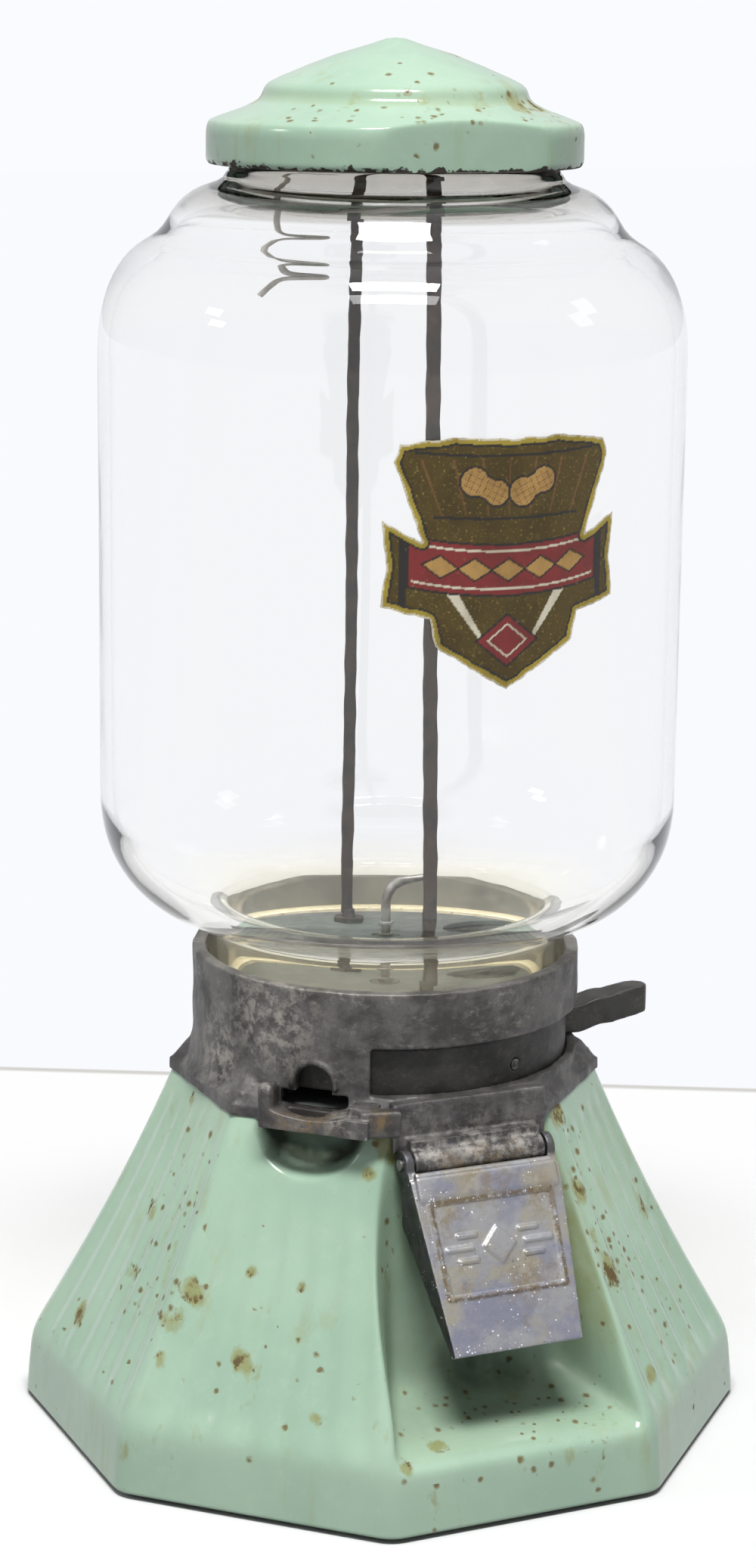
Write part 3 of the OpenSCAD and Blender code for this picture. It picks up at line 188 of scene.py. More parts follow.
class Bench:
    """Modelling bench: short calls round the operators that shape a mesh."""

    MERGE = 0.002 * MM

    @staticmethod
    def clear() -> None:
        """Leaves edit mode and deselects everything."""
        if bpy.context.mode != "OBJECT":
            bpy.ops.object.mode_set(mode="OBJECT")
        bpy.ops.object.select_all(action="DESELECT")

    @staticmethod
    def named(name: str) -> Piece:
        """Names the primitive that was just added and sets its place into its mesh."""
        piece = bpy.context.object
        piece.name = name
        piece.data.name = name
        bpy.ops.object.transform_apply(location=True, rotation=True, scale=True)
        return piece

    @staticmethod
    def pick(piece: Piece) -> None:
        """Makes a piece the only selected and active one, in object mode."""
        Bench.clear()
        bpy.context.view_layer.objects.active = piece
        piece.select_set(True)

    @staticmethod
    def edit(piece: Piece) -> None:
        """Enters edit mode on a piece with all of it selected."""
        Bench.pick(piece)
        bpy.ops.object.mode_set(mode="EDIT")
        bpy.ops.mesh.select_mode(type="VERT")
        bpy.ops.mesh.select_all(action="SELECT")

    @staticmethod
    def select(piece: Piece, part: Part, chosen: Sequence[bool]) -> None:
        """Enters edit mode with only the chosen points, edges or faces selected."""
        Bench.edit(piece)
        bpy.ops.mesh.select_mode(type=part.value)
        bpy.ops.mesh.select_all(action="DESELECT")
        bpy.ops.object.mode_set(mode="OBJECT")
        mesh = piece.data
        rows = {Part.POINT: mesh.vertices, Part.EDGE: mesh.edges, Part.FACE: mesh.polygons}
        rows[part].foreach_set("select", chosen)
        bpy.ops.object.mode_set(mode="EDIT")

    @staticmethod
    def pick_faces(piece: Piece, test: Callable[[Vector, Vector], bool]) -> None:
        """Enters edit mode with the faces selected whose middle, in millimetres, and normal pass a test."""
        Bench.select(piece, Part.FACE, [test(face.center / MM, face.normal) for face in piece.data.polygons])

    @staticmethod
    def pick_edges(piece: Piece, test: Callable[[Vector, Vector], bool]) -> None:
        """Enters edit mode with the edges selected whose ends, in millimetres, pass a test."""
        points = piece.data.vertices
        ends = [[points[end].co / MM for end in edge.vertices] for edge in piece.data.edges]
        Bench.select(piece, Part.EDGE, [test(a, b) for a, b in ends])

    @staticmethod
    def face_out(piece: Piece) -> None:
        """Merges doubles and turns all faces outwards."""
        Bench.edit(piece)
        bpy.ops.mesh.remove_doubles(threshold=Bench.MERGE)
        bpy.ops.mesh.normals_make_consistent(inside=False)
        Bench.clear()

    @staticmethod
    def lathe(name: str, outline: Outline, steps: int, sweep: float = 360, start: float = 0) -> Piece:
        """Spins an outline about the upright axis.

        Args:
            name: Name of the piece.
            outline: Radius and height of each point; a closed one ends where it starts.
            steps: Steps of the spin.
            sweep: Angle of the spin in degrees.
            start: Angle of its first step, from the front towards the right.

        Returns:
            The spun piece.
        """
        Bench.clear()
        bpy.ops.mesh.primitive_plane_add(size=MM)
        piece = Bench.named(name)
        Bench.edit(piece)
        bpy.ops.mesh.merge(type="CENTER")
        angle = math.radians(start)
        out = Vector((math.sin(angle), -math.cos(angle), 0))
        radius, height = 0.0, 0.0
        for index, (new_radius, new_height) in enumerate(outline):
            step = out * (new_radius - radius) * MM
            step.z = (new_height - height) * MM
            if index:
                bpy.ops.mesh.extrude_vertices_move(TRANSFORM_OT_translate={"value": step})
            else:
                bpy.ops.transform.translate(value=step)
            radius, height = new_radius, new_height
        bpy.ops.mesh.select_all(action="SELECT")
        bpy.ops.mesh.spin(steps=steps, angle=-math.radians(sweep), center=(0, 0, 0), axis=(0, 0, 1))
        Bench.face_out(piece)
        return piece

    @staticmethod
    def block(name: str, size: Point, place: Matrix, bevel: float) -> Piece:
        """Cube of a size with bevelled edges, put in its place.

        Args:
            name: Name of the piece.
            size: Length along each axis.
            place: Turn and place.
            bevel: Width of the bevel.

        Returns:
            The block.
        """
        Bench.clear()
        bpy.ops.mesh.primitive_cube_add(size=1)
        piece = bpy.context.object
        piece.matrix_world = Matrix.Scale(MM, 4) @ place @ Matrix.Diagonal((*size, 1))
        Bench.named(name)
        Bench.edit(piece)
        bpy.ops.mesh.bevel(offset=bevel * MM, segments=2, affect="EDGES")
        Bench.face_out(piece)
        return piece

    @staticmethod
    def wire(name: str, route: Array, radius: float) -> Piece:
        """Round wire along a route of points, with closed ends."""
        Bench.clear()
        bpy.ops.curve.primitive_nurbs_path_add(radius=1)
        line = bpy.context.object.data
        spline = line.splines[0]
        spline.points.add(len(route) - len(spline.points))
        for point, place in zip(spline.points, route):
            point.co = (*(place * MM), 1)
        spline.use_endpoint_u = True
        line.bevel_depth = radius * MM
        line.bevel_resolution = 5
        line.use_fill_caps = True
        line.resolution_u = 4
        bpy.ops.object.convert(target="MESH")
        piece = Bench.named(name)
        Bench.face_out(piece)
        Bench.smooth(piece, 50)
        return piece

    @staticmethod
    def rings(name: str, outline: Outline, sides: int, first_angle: float) -> Piece:
        """Open tube, drawn up ring by ring.

        Args:
            name: Name of the piece.
            outline: Radius and height of each ring.
            sides: Corners of each ring.
            first_angle: Turn of the first corner.

        Returns:
            The tube.
        """
        Bench.clear()
        radius, height = outline[0]
        spot = (0, 0, height * MM)
        bpy.ops.mesh.primitive_circle_add(
            vertices=sides, radius=radius * MM, location=spot, rotation=(0, 0, first_angle)
        )
        piece = Bench.named(name)
        Bench.edit(piece)
        for new_radius, new_height in outline[1:]:
            step = (0, 0, (new_height - height) * MM)
            bpy.ops.mesh.extrude_edges_move(TRANSFORM_OT_translate={"value": step})
            share = new_radius / radius
            bpy.ops.transform.resize(value=(share, share, 1), center_override=(0, 0, new_height * MM))
            radius, height = new_radius, new_height
        Bench.clear()
        return piece

    @staticmethod
    def places(piece: Piece) -> Array:
        """Places of all points of a piece."""
        flat = np.zeros(len(piece.data.vertices) * 3, np.float32)
        piece.data.vertices.foreach_get("co", flat)
        return flat.reshape(-1, 3).astype(float) / MM

    @staticmethod
    def push(piece: Piece, move: Move) -> None:
        """Moves all points of a piece to the places that a function gives for theirs."""
        moved = move(Bench.places(piece)) * MM
        piece.data.vertices.foreach_set("co", moved.astype(np.float32).ravel())
        piece.data.update()

    @staticmethod
    def paint(piece: Piece, name: str, value: Move) -> None:
        """Paints a named layer with the values that a function gives for the points' places."""
        layer = piece.data.attributes.new(name, "FLOAT", "POINT")
        layer.data.foreach_set("value", value(Bench.places(piece)).astype(np.float32))

    @staticmethod
    def finish(piece: Piece, kind: str, **settings: object) -> None:
        """Adds a modifier of a kind with its settings and applies it."""
        Bench.pick(piece)
        change = piece.modifiers.new(kind.title(), kind)
        for key, value in settings.items():
            setattr(change, key, value)
        bpy.ops.object.modifier_apply(modifier=change.name)

    @staticmethod
    def smooth(piece: Piece, angle: float) -> None:
        """Shades a piece smooth, with edges kept sharp past an angle in degrees."""
        Bench.pick(piece)
        bpy.ops.object.shade_smooth_by_angle(angle=math.radians(angle))
        Bench.clear()

    @staticmethod
    def copy_node(name: str, node: str) -> Piece:
        """Own merged copy of a CAD node's mesh, to be worked on."""
        Bench.clear()
        piece = bpy.data.objects.new(name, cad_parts[node].data.copy())
        piece.data.materials.clear()
        bpy.context.scene.collection.objects.link(piece)
        Bench.edit(piece)
        bpy.ops.mesh.customdata_custom_splitnormals_clear()
        bpy.ops.mesh.remove_doubles(threshold=Bench.MERGE)
        Bench.clear()
        return piece

    @staticmethod
    def join(piece: Piece, others: Sequence[Piece]) -> None:
        """Joins other pieces into the first one."""
        Bench.pick(piece)
        for other in others:
            other.select_set(True)
        bpy.ops.object.join()
        Bench.clear()

    @staticmethod
    def recast(piece: Piece, voxel: float, rounds: int) -> None:
        """Melts joined forms into one casting with soft edges.

        Args:
            piece: Piece to recast.
            voxel: Grain of the casting.
            rounds: Rounds of smoothing.
        """
        Bench.finish(piece, "REMESH", mode="VOXEL", voxel_size=voxel * MM)
        Bench.finish(piece, "SMOOTH", factor=0.5, iterations=rounds)
        Bench.finish(piece, "DECIMATE", ratio=0.6)
        Bench.smooth(piece, 180)


class Net:
    """Node tree with short calls for the nodes it uses."""

    def __init__(self, tree: bpy.types.NodeTree) -> None:
        """Takes the tree to work on."""
        self.tree = tree

    def feed(self, socket: Socket, value: object) -> None:
        """Links a socket or sets its value."""
        if isinstance(value, bpy.types.NodeSocket):
            self.tree.links.new(value, socket)
        else:
            socket.default_value = value

    def fill(self, node: bpy.types.Node, **values: object) -> None:
        """Feeds inputs of a node by their names, where underscores stand for spaces."""
        for name, value in values.items():
            self.feed(node.inputs[name.replace("_", " ")], value)

    def node(self, kind: str, *values: object, **settings: object) -> bpy.types.Node:
        """Adds a node.

        Args:
            kind: Its type, without the beginning that all types share.
            values: What its first inputs get.
            settings: Its properties, and inputs by names with a capital and no spaces.

        Returns:
            The node.
        """
        node = self.tree.nodes.new("ShaderNode" + kind)
        inputs = {name: value for name, value in settings.items() if name[0].isupper()}
        for name, value in settings.items():
            if name not in inputs:
                setattr(node, name, value)
        for socket, value in zip(node.inputs, values):
            self.feed(socket, value)
        self.fill(node, **inputs)
        return node

    def math(self, kind: str, a: object, b: object = 0.0, c: object = 0.0) -> Socket:
        """Result of a sum of some kind."""
        return self.node("Math", a, b, c, operation=kind).outputs[0]

    def times(self, a: object, b: object) -> Socket:
        """Product of two values."""
        return self.math("MULTIPLY", a, b)

    def add(self, a: object, share: object, b: object) -> Socket:
        """Share of one value, added to another."""
        return self.math("MULTIPLY_ADD", a, share, b)

    def less(self, a: object, b: object) -> Socket:
        """First value less the second."""
        return self.math("SUBTRACT", a, b)

    def most(self, first: object, *others: object) -> Socket:
        """Greatest of some values."""
        for other in others:
            first = self.math("MAXIMUM", first, other)
        return first

    def step(self, value: object, low: object, high: object) -> Socket:
        """Smooth step of a value from 0 at low to 1 at high."""
        return self.node("MapRange", value, low, high, interpolation_type="SMOOTHSTEP").outputs[0]

    def axis(self, vector: Socket, index: int) -> Socket:
        """One of the three numbers of a vector."""
        return self.node("SeparateXYZ", vector).outputs[index]


class Shade(Net):
    """Node tree of one finish, with the colour that its coats have given so far."""

    def __init__(self, name: str, ground: Colour) -> None:
        """Starts a material with its surface and its ground colour."""
        self.material = bpy.data.materials.new(name)
        self.material.use_nodes = True
        super().__init__(self.material.node_tree)
        self.tree.nodes.clear()
        self.out = self.node("OutputMaterial")
        self.surface = self.node("BsdfPrincipled")
        self.feed(self.out.inputs[0], self.surface.outputs[0])
        self.place = self.node("TexCoord").outputs["Object"]
        self.colour: object = ground

    def coat(self, share: object, tint: Colour, strength: float | None = None) -> None:
        """Lays a colour over those so far, by a share and a strength."""
        if strength is not None:
            share = self.times(share, strength)
        self.colour = self.mix(share, self.colour, tint)

    def set(self, **values: object) -> None:
        """Feeds the colour and more to the surface."""
        self.fill(self.surface, Base_Color=self.colour, **values)

    def blend(self, share: object, other: bpy.types.Node) -> None:
        """Lets another shader take the surface's place by a share."""
        join = self.node("MixShader", share, self.surface.outputs[0], other.outputs[0])
        self.feed(self.out.inputs[0], join.outputs[0])

    def mix(self, share: object, a: object, b: object, kind: str = "MIX") -> Socket:
        """Mix of two colours."""
        node = self.node("Mix", share, data_type="RGBA", blend_type=kind)
        self.feed(node.inputs[6], a)
        self.feed(node.inputs[7], b)
        return node.outputs[2]

    def stretch(self, z: float = 1.0, shift: float = 0.0) -> Socket:
        """Object coordinates stretched along the upright axis and shifted."""
        return self.node("Mapping", Vector=self.place, Scale=(1, 1, z), Location=(shift,) * 3).outputs[0]

    def noise(self, size: float, detail: float = 3, rough: float = 0.55, at: Socket | None = None) -> Socket:
        """Cloudy noise with grains of a size."""
        look = {"Scale": 1 / (size * MM), "Detail": detail, "Roughness": rough}
        return self.node("TexNoise", Vector=at or self.place, **look).outputs[0]

    def cloud(self, size: float, low: float, high: float, *look: object) -> Socket:
        """Noise stepped from 0 at a low level to 1 at a high one; its look goes on to the noise."""
        return self.step(self.noise(size, *look), low, high)

    def warp(self, amount: float, size: float) -> Socket:
        """Object coordinates shaken by an amount, by noise of a size."""
        noise = self.node("TexNoise", Vector=self.place, Scale=1 / (size * MM)).outputs["Color"]
        reach = (2 * amount * MM,) * 3
        return self.node("VectorMath", noise, reach, self.place, operation="MULTIPLY_ADD").outputs[0]

    def spots(self, cell: float, share: float, radius: float, at: Socket) -> tuple[Socket, Socket]:
        """Scattered round spots.

        Args:
            cell: Spacing of the spots.
            share: Share of the places that hold a spot.
            radius: Radius of the largest spots.
            at: Coordinates to read.

        Returns:
            The soft spot from 0 at its edge to 1 at its middle, and its random number.
        """
        node = self.node("TexVoronoi", Vector=at, Scale=1 / (cell * MM))
        chance, size, number = self.node("SeparateColor", node.outputs["Color"]).outputs
        there = self.math("LESS_THAN", chance, share)
        reach = self.add(size, 0.75 * radius / cell, 0.25 * radius / cell)
        near = self.less(1.0, self.math("DIVIDE", node.outputs["Distance"], reach))
        return self.times(self.most(near, 0.0), there), number

    def height(self) -> Socket:
        """Height above the floor."""
        return self.times(self.axis(self.place, 2), 1 / MM)

    def painted(self, name: str) -> Socket:
        """Value painted on the points of the mesh, zero where there is none."""
        return self.node("Attribute", attribute_name=name).outputs["Fac"]

    def pointed(self, low: float, high: float) -> Socket:
        """Share of an edge's sharpness between two levels of pointiness."""
        return self.step(self.node("NewGeometry").outputs["Pointiness"], low, high)

    def hollow(self, low: float, high: float) -> Socket:
        """Share of a groove's depth between two levels of pointiness."""
        return self.less(1.0, self.pointed(low, high))

    def faces_side(self) -> Socket:
        """Share by which the surface faces left or right."""
        normal = self.node("NewGeometry").outputs["Normal"]
        return self.step(self.math("ABSOLUTE", self.axis(normal, 0)), 0.55, 0.9)

    def near(self, place: Sequence[float], reach: float) -> Socket:
        """Soft ball of influence round a place."""
        middle = [value * MM for value in place]
        far = self.node("VectorMath", self.place, middle, operation="DISTANCE").outputs["Value"]
        return self.step(far, reach * MM, 0.0)

    def patched(self, share: Socket, patches: Patches, *cloud: float) -> Socket:
        """Greatest of a share and of a cloud round each of some places."""
        for *place, reach in patches:
            share = self.most(share, self.times(self.near(place, reach), self.cloud(*cloud)))
        return share

    def bump(self, height: Socket, reach: float, strength: float) -> Material:
        """Feeds a bump of some reach to the surface and hands the material over."""
        node = self.node("Bump", Strength=strength, Distance=reach * MM, Height=height)
        self.fill(self.surface, Normal=node.outputs[0])
        return self.material


@dataclass(frozen=True)
class Finish(ABC):
    """Finish of a piece, by the name of its material."""

    name: str

    @abstractmethod
    def material(self) -> Material:
        """Builds the finish."""


@dataclass(frozen=True)
class Enamel(Finish):
    """Mint enamel on iron with rust blooms and chipped edges."""

    tint: Colour = srgb(172, 200, 177)
    deep: Colour = srgb(162, 192, 169)
    pale: Colour = srgb(206, 222, 205)
    wash: Colour = srgb(158, 164, 112)
    olive: Colour = srgb(146, 144, 76)
    halo: Colour = srgb(126, 112, 54)
    core: Colour = srgb(80, 60, 28)
    speck: Colour = srgb(104, 80, 38)
    black: Colour = srgb(42, 45, 31)
    chip: Colour = srgb(30, 24, 18)
    edge_z: float = 1.4
    edge_h: float = 2.0
    edge_keep: float = 2.1
    rust_from: float = 0.93
    speck_cell: float = 2.9
    speck_r: float = 1.5
    speck_share: float = 0.2
    groove: float = 0.15
    stains: Patches = ()
    specks: Patches = ()
    # Places of painted shade with some soot: x, y, z, reach and strength
    soot_and_shade: Patches = ()

    def material(self) -> Material:
        """Builds the finish."""
        s = Shade(self.name, self.tint)
        s.coat(s.cloud(45, 0.35, 0.65), self.deep)
        streak = s.cloud(7, 0.5, 0.7, 4, 0.6, s.stretch(0.16))
        s.coat(s.times(streak, s.cloud(38, 0.44, 0.64, 2, 0.5, s.stretch(1, 3))), self.wash, 0.4)
        s.coat(s.cloud(5, 0.5, 0.7, 5, 0.7), self.pale, 0.12)
        s.coat(s.hollow(0.44, 0.492), self.olive, self.groove)
        tarnish = s.times(s.painted("tarnish"), s.add(s.noise(5, 4, 0.6), 1.4, 0.3))
        s.coat(s.math("MINIMUM", tarnish, 0.9), self.olive)
        cluster = s.noise(24, 2, 0.5, s.stretch(1, 7))
        level = s.add(cluster, 0.45, s.noise(2.6, 5, 0.62, s.stretch(0.6, 2)))
        olive = s.add(cluster, 0.5, s.noise(6.5, 4, 0.55, s.stretch(0.55, 4)))
        spot, number = s.spots(self.speck_cell, 1.0, self.speck_r, s.warp(0.5, 1.4))
        crowd = s.times(s.step(cluster, 0.5, 0.72), self.speck_share)
        for *place, reach, strength in self.stains:
            near = s.near(place, reach)
            level = s.add(near, strength, level)
            olive = s.add(near, strength * 1.5, olive)
            crowd = s.add(near, strength * 0.6, crowd)
        for *place, reach, strength in self.specks:
            crowd = s.add(s.near(place, reach), strength, crowd)
        rust = self.rust_from
        rim = s.step(level, rust, rust + 0.08)
        core = s.step(level, rust + 0.06, rust + 0.14)
        speck = s.times(spot, s.math("LESS_THAN", number, crowd))
        dot = s.step(speck, 0.3, 0.6)
        s.coat(s.step(olive, rust - 0.02, rust + 0.2), self.olive, 0.75)
        s.coat(s.most(rim, s.step(speck, 0.0, 0.4)), self.halo, 0.5)
        s.coat(dot, self.speck, 0.75)
        s.coat(core, self.core, 0.85)
        # Painted shade: darker in the dimple, in the delivery recess and under the flap, from the painted
        # layer and the listed places, with some soot
        soot_and_shade = s.painted("shade_and_grime")
        for *place, reach, strength in self.soot_and_shade:
            soot_and_shade = s.most(soot_and_shade, s.times(s.near(place, reach), strength))
        soot_and_shade = s.times(soot_and_shade, s.add(s.noise(4, 4), 0.5, 0.75))
        s.coat(s.math("MINIMUM", soot_and_shade, 0.95), self.black)
        edge = s.add(s.noise(3.5, 4, 0.65), self.edge_h * 3.2, -self.edge_h * self.edge_keep)
        chipped = s.step(s.less(edge, s.less(s.height(), self.edge_z)), -0.15, 0.25)
        s.coat(chipped, self.chip)
        worn = s.most(rim, core, dot, chipped)
        rough = s.add(worn, 0.5, s.add(s.noise(14), 0.1, 0.1))
        s.set(Roughness=s.add(soot_and_shade, 0.9, rough), Specular_IOR_Level=0.5)
        return s.bump(s.add(s.noise(4.5, 2), 0.12, s.times(worn, -0.25)), 0.35, 0.6)


@dataclass(frozen=True)
class Casting(Finish):
    """Dull grey die casting, mottled by oxide, lighter along its edges."""

    dark: Colour = srgb(62, 60, 60)
    mid: Colour = srgb(98, 96, 96)
    light: Colour = srgb(158, 154, 148)
    dirt: Colour = srgb(128, 108, 76)
    edge: Colour = srgb(158, 157, 156)
    # Colour of the dirt in hollows and of the painted shade
    soot_and_shade: Colour = srgb(44, 41, 38)
    metal: float = 0.45
    rough: float = 0.5
    grain: float = 0.3
    patches: Patches = ()
    soiled: Patches = ()

    @classmethod
    def dusky(cls, name: str) -> Casting:
        """The darker casting of the turning parts."""
        return cls(name, dark=srgb(38, 37, 36), mid=srgb(58, 57, 56), light=srgb(98, 94, 88))

    def material(self) -> Material:
        """Builds the finish."""
        s = Shade(self.name, self.dark)
        s.coat(s.cloud(13, 0.38, 0.62, 5, 0.62), self.mid)
        oxide = s.times(s.cloud(7, 0.47, 0.68, 7, 0.75, s.stretch(1.7, 5)), 0.55)
        fine = s.cloud(1.2, 0.42, 0.64, 5, 0.75, s.stretch(1, 9))
        oxide = s.times(oxide, s.add(fine, 0.8, 0.2))
        s.coat(s.patched(oxide, self.patches, 3.2, 0.42, 0.62, 5, 0.7), self.light)
        s.coat(s.cloud(0.9, 0.56, 0.72, 3, 0.6), self.dark, 0.45)
        for *place, reach in self.soiled:
            s.coat(s.times(s.near(place, reach), s.cloud(2.4, 0.4, 0.62, 5, 0.7)), self.dirt)
        s.coat(s.times(s.pointed(0.53, 0.6), s.cloud(2.5, 0.35, 0.6)), self.edge, 0.65)
        # Dirt in the hollows; the painted layer adds painted shade, as on the coin seat
        shade_and_grime = s.times(s.hollow(0.42, 0.49), 0.55)
        s.coat(s.most(shade_and_grime, s.times(s.painted("shade_and_grime"), 0.8)), self.soot_and_shade)
        s.set(Roughness=s.add(s.noise(3.5, 4), 0.3, self.rough - 0.12), Metallic=self.metal)
        return s.bump(s.add(s.noise(1.1, 4, 0.65), 0.6, s.times(s.noise(5), 0.8)), self.grain, 0.55)


@dataclass(frozen=True)
class FlapMetal(Finish):
    """Lavender grey casting with bright pits and brown stains."""

    tint: Colour = srgb(158, 158, 160)
    deep: Colour = srgb(134, 136, 151)
    warm: Colour = srgb(160, 155, 142)
    stain: Colour = srgb(124, 104, 70)
    seam: Colour = srgb(104, 86, 56)
    edge: Colour = srgb(196, 196, 198)
    dirt: Colour = srgb(86, 68, 44)
    # Colour of the dirt and painted shade on the sides and along the hinge
    soot_and_shade: Colour = srgb(34, 33, 33)
    bright: Colour = srgb(240, 240, 242)
    dark: Colour = srgb(64, 52, 38)
    dark_share: float = 0.35
    stained: Patches = ()
    slope: Point = (0.0, 0.4756, 0.8797)
    hinge: float = 51.52
    panel_half: float = 17.5
    panel_mid: float = 24.85
    panel_reach: float = 12.85

    def drop(self, s: Shade) -> Socket:
        """Distance down the flap from its hinge."""
        up = s.node("VectorMath", s.place, self.slope, operation="DOT_PRODUCT").outputs["Value"]
        return s.add(up, -1 / MM, self.hinge)

    def border(self, s: Shade, drop: Socket) -> Socket:
        """Distance from the panel's border line on the flap's face."""
        across = s.math("ABSOLUTE", s.times(s.axis(s.place, 0), 1 / MM))
        down = s.math("ABSOLUTE", s.less(drop, self.panel_mid))
        return s.math("ABSOLUTE", s.most(s.less(across, self.panel_half), s.less(down, self.panel_reach)))

    def material(self) -> Material:
        """Builds the finish."""
        s = Shade(self.name, self.tint)
        drop = self.drop(s)
        line = self.border(s, drop)
        s.coat(s.cloud(13, 0.4, 0.62, 4, 0.6), self.deep)
        s.coat(s.cloud(10, 0.46, 0.66, 4, 0.6, s.stretch(1, 6)), self.warm)
        brown = s.cloud(7, 0.56, 0.74, 5, 0.68)
        s.coat(s.patched(brown, self.stained, 3, 0.4, 0.58, 5, 0.7), self.stain, 0.55)
        s.coat(s.times(s.step(line, 1.1, 0.3), s.cloud(2, 0.36, 0.56, 4, 0.65)), self.seam, 0.75)
        pit, chance = s.spots(0.75, 0.42, 0.36, s.warp(0.3, 0.7))
        pitted = s.cloud(6, 0.46, 0.62, 4, 0.65, s.stretch(1, 4))
        pit = s.times(pit, s.most(pitted, s.step(line, 1.6, 0.5), s.step(drop, 48.0, 51.5)))
        spot = s.step(pit, 0.1, 0.4)
        s.coat(s.times(s.pointed(0.53, 0.6), s.cloud(1.6, 0.4, 0.55)), self.edge, 0.7)
        s.coat(s.hollow(0.42, 0.485), self.dirt, 0.7)
        # Darker on faces towards the left or right, partly dirt and partly painted shade, and darker along
        # the hinge
        soot_and_shade = s.times(s.faces_side(), s.add(s.noise(5, 4), 0.4, 0.7))
        soot_and_shade = s.most(soot_and_shade, s.times(s.step(drop, 4.2, 2.2), 0.75))
        s.coat(s.math("MINIMUM", soot_and_shade, 0.96), self.soot_and_shade)
        s.coat(s.times(spot, s.math("GREATER_THAN", chance, self.dark_share)), self.bright)
        s.coat(s.times(spot, s.math("LESS_THAN", chance, self.dark_share)), self.dark, 0.7)
        s.set(Roughness=s.add(s.noise(2.5, 4), 0.25, 0.3), Metallic=0.5)
        return s.bump(s.add(pit, -0.5, s.noise(1.4, 4, 0.6)), 0.25, 0.5)


@dataclass(frozen=True)
class Rust(Finish):
    """Rusted flat iron, dark brown with flaking scale."""

    dark: Colour = srgb(24, 18, 14)
    brown: Colour = srgb(54, 39, 29)
    scale: Colour = srgb(82, 70, 60)

    def material(self) -> Material:
        """Builds the finish."""
        s = Shade(self.name, self.dark)
        s.coat(s.cloud(6, 0.36, 0.64, 5, 0.7), self.brown)
        flake = s.cloud(2.2, 0.54, 0.7, 5, 0.72)
        s.coat(flake, self.scale, 0.6)
        s.set(Roughness=s.add(flake, -0.15, 0.72), Metallic=0.2)
        return s.bump(s.add(s.noise(0.9, 4), 0.5, s.noise(3, 4)), 0.5, 0.7)


@dataclass(frozen=True)
class Steel(Finish):
    """Plain metal with a soft patina and fine scratches."""

    clean: Colour = srgb(168, 168, 166)
    dull: Colour = srgb(118, 114, 108)
    stain: Colour = srgb(84, 70, 54)
    metal: float = 0.85
    rough: float = 0.34

    def material(self) -> Material:
        """Builds the finish."""
        s = Shade(self.name, self.clean)
        s.coat(s.cloud(8, 0.36, 0.66, 5, 0.65), self.dull)
        s.coat(s.cloud(1.6, 0.58, 0.74, 4), self.stain, 0.5)
        s.set(Roughness=s.add(s.noise(4, 4), 0.3, self.rough - 0.1), Metallic=self.metal)
        return s.bump(s.noise(1.2, 4), 0.15, 0.4)


@dataclass(frozen=True)
class Cork(Finish):
    """Tan cork with dark grains."""

    tint: Colour = srgb(212, 203, 178)
    shade: Colour = srgb(198, 186, 156)
    grain: Colour = srgb(172, 156, 122)

    def material(self) -> Material:
        """Builds the finish."""
        s = Shade(self.name, self.tint)
        s.coat(s.cloud(3.5, 0.4, 0.62, 4), self.shade)
        speck, _ = s.spots(2.2, 0.5, 1.0, s.warp(0.4, 1.2))
        s.coat(s.step(speck, 0.1, 0.6), self.grain)
        s.set(Roughness=0.85)
        return s.bump(s.noise(1.1, 4), 0.3, 0.6)


@dataclass(frozen=True)
class Rubber(Finish):
    """Black rubber, dusty."""

    tint: Colour = srgb(24, 24, 25)
    dust: Colour = srgb(62, 60, 57)

    def material(self) -> Material:
        """Builds the finish."""
        s = Shade(self.name, self.tint)
        s.coat(s.cloud(5, 0.45, 0.7, 4), self.dust)
        s.set(Roughness=0.8)
        return s.bump(s.noise(0.8), 0.2, 0.5)


@dataclass(frozen=True)
class Glass(Finish):
    """Old clear glass with a faint warm tint, a dusty heel and slight waves."""

    tint: Colour = (0.975, 0.975, 0.97, 1.0)
    warm: Colour = (0.88, 0.85, 0.72, 1.0)
    neck_dark: Colour = (0.46, 0.44, 0.39, 1.0)
    shadow: Colour = (0.9, 0.9, 0.88, 1.0)
    heel_z: float = 126.0
    neck_z: float = 346.0

    def material(self) -> Material:
        """Builds the finish; light falls through it without a shadow."""
        s = Shade(self.name, self.tint)
        z = s.height()
        heel = s.step(z, self.heel_z + 26, self.heel_z + 13)
        s.coat(heel, self.warm, 0.8)
        # Darker and greyer up the neck, just under the lid
        s.coat(s.step(z, self.neck_z - 9, self.neck_z), self.neck_dark, 0.9)
        dust = s.times(heel, s.add(s.noise(9, 4, 0.6), 0.16, 0.02))
        s.set(Roughness=0.0, Transmission_Weight=s.less(1.0, dust), IOR=1.46)
        clear = s.node("BsdfTransparent", self.shadow)
        s.blend(s.node("LightPath").outputs["Is Shadow Ray"], clear)
        return s.bump(s.noise(26, 2, 0.4, s.stretch(0.5)), 0.25, 0.25)


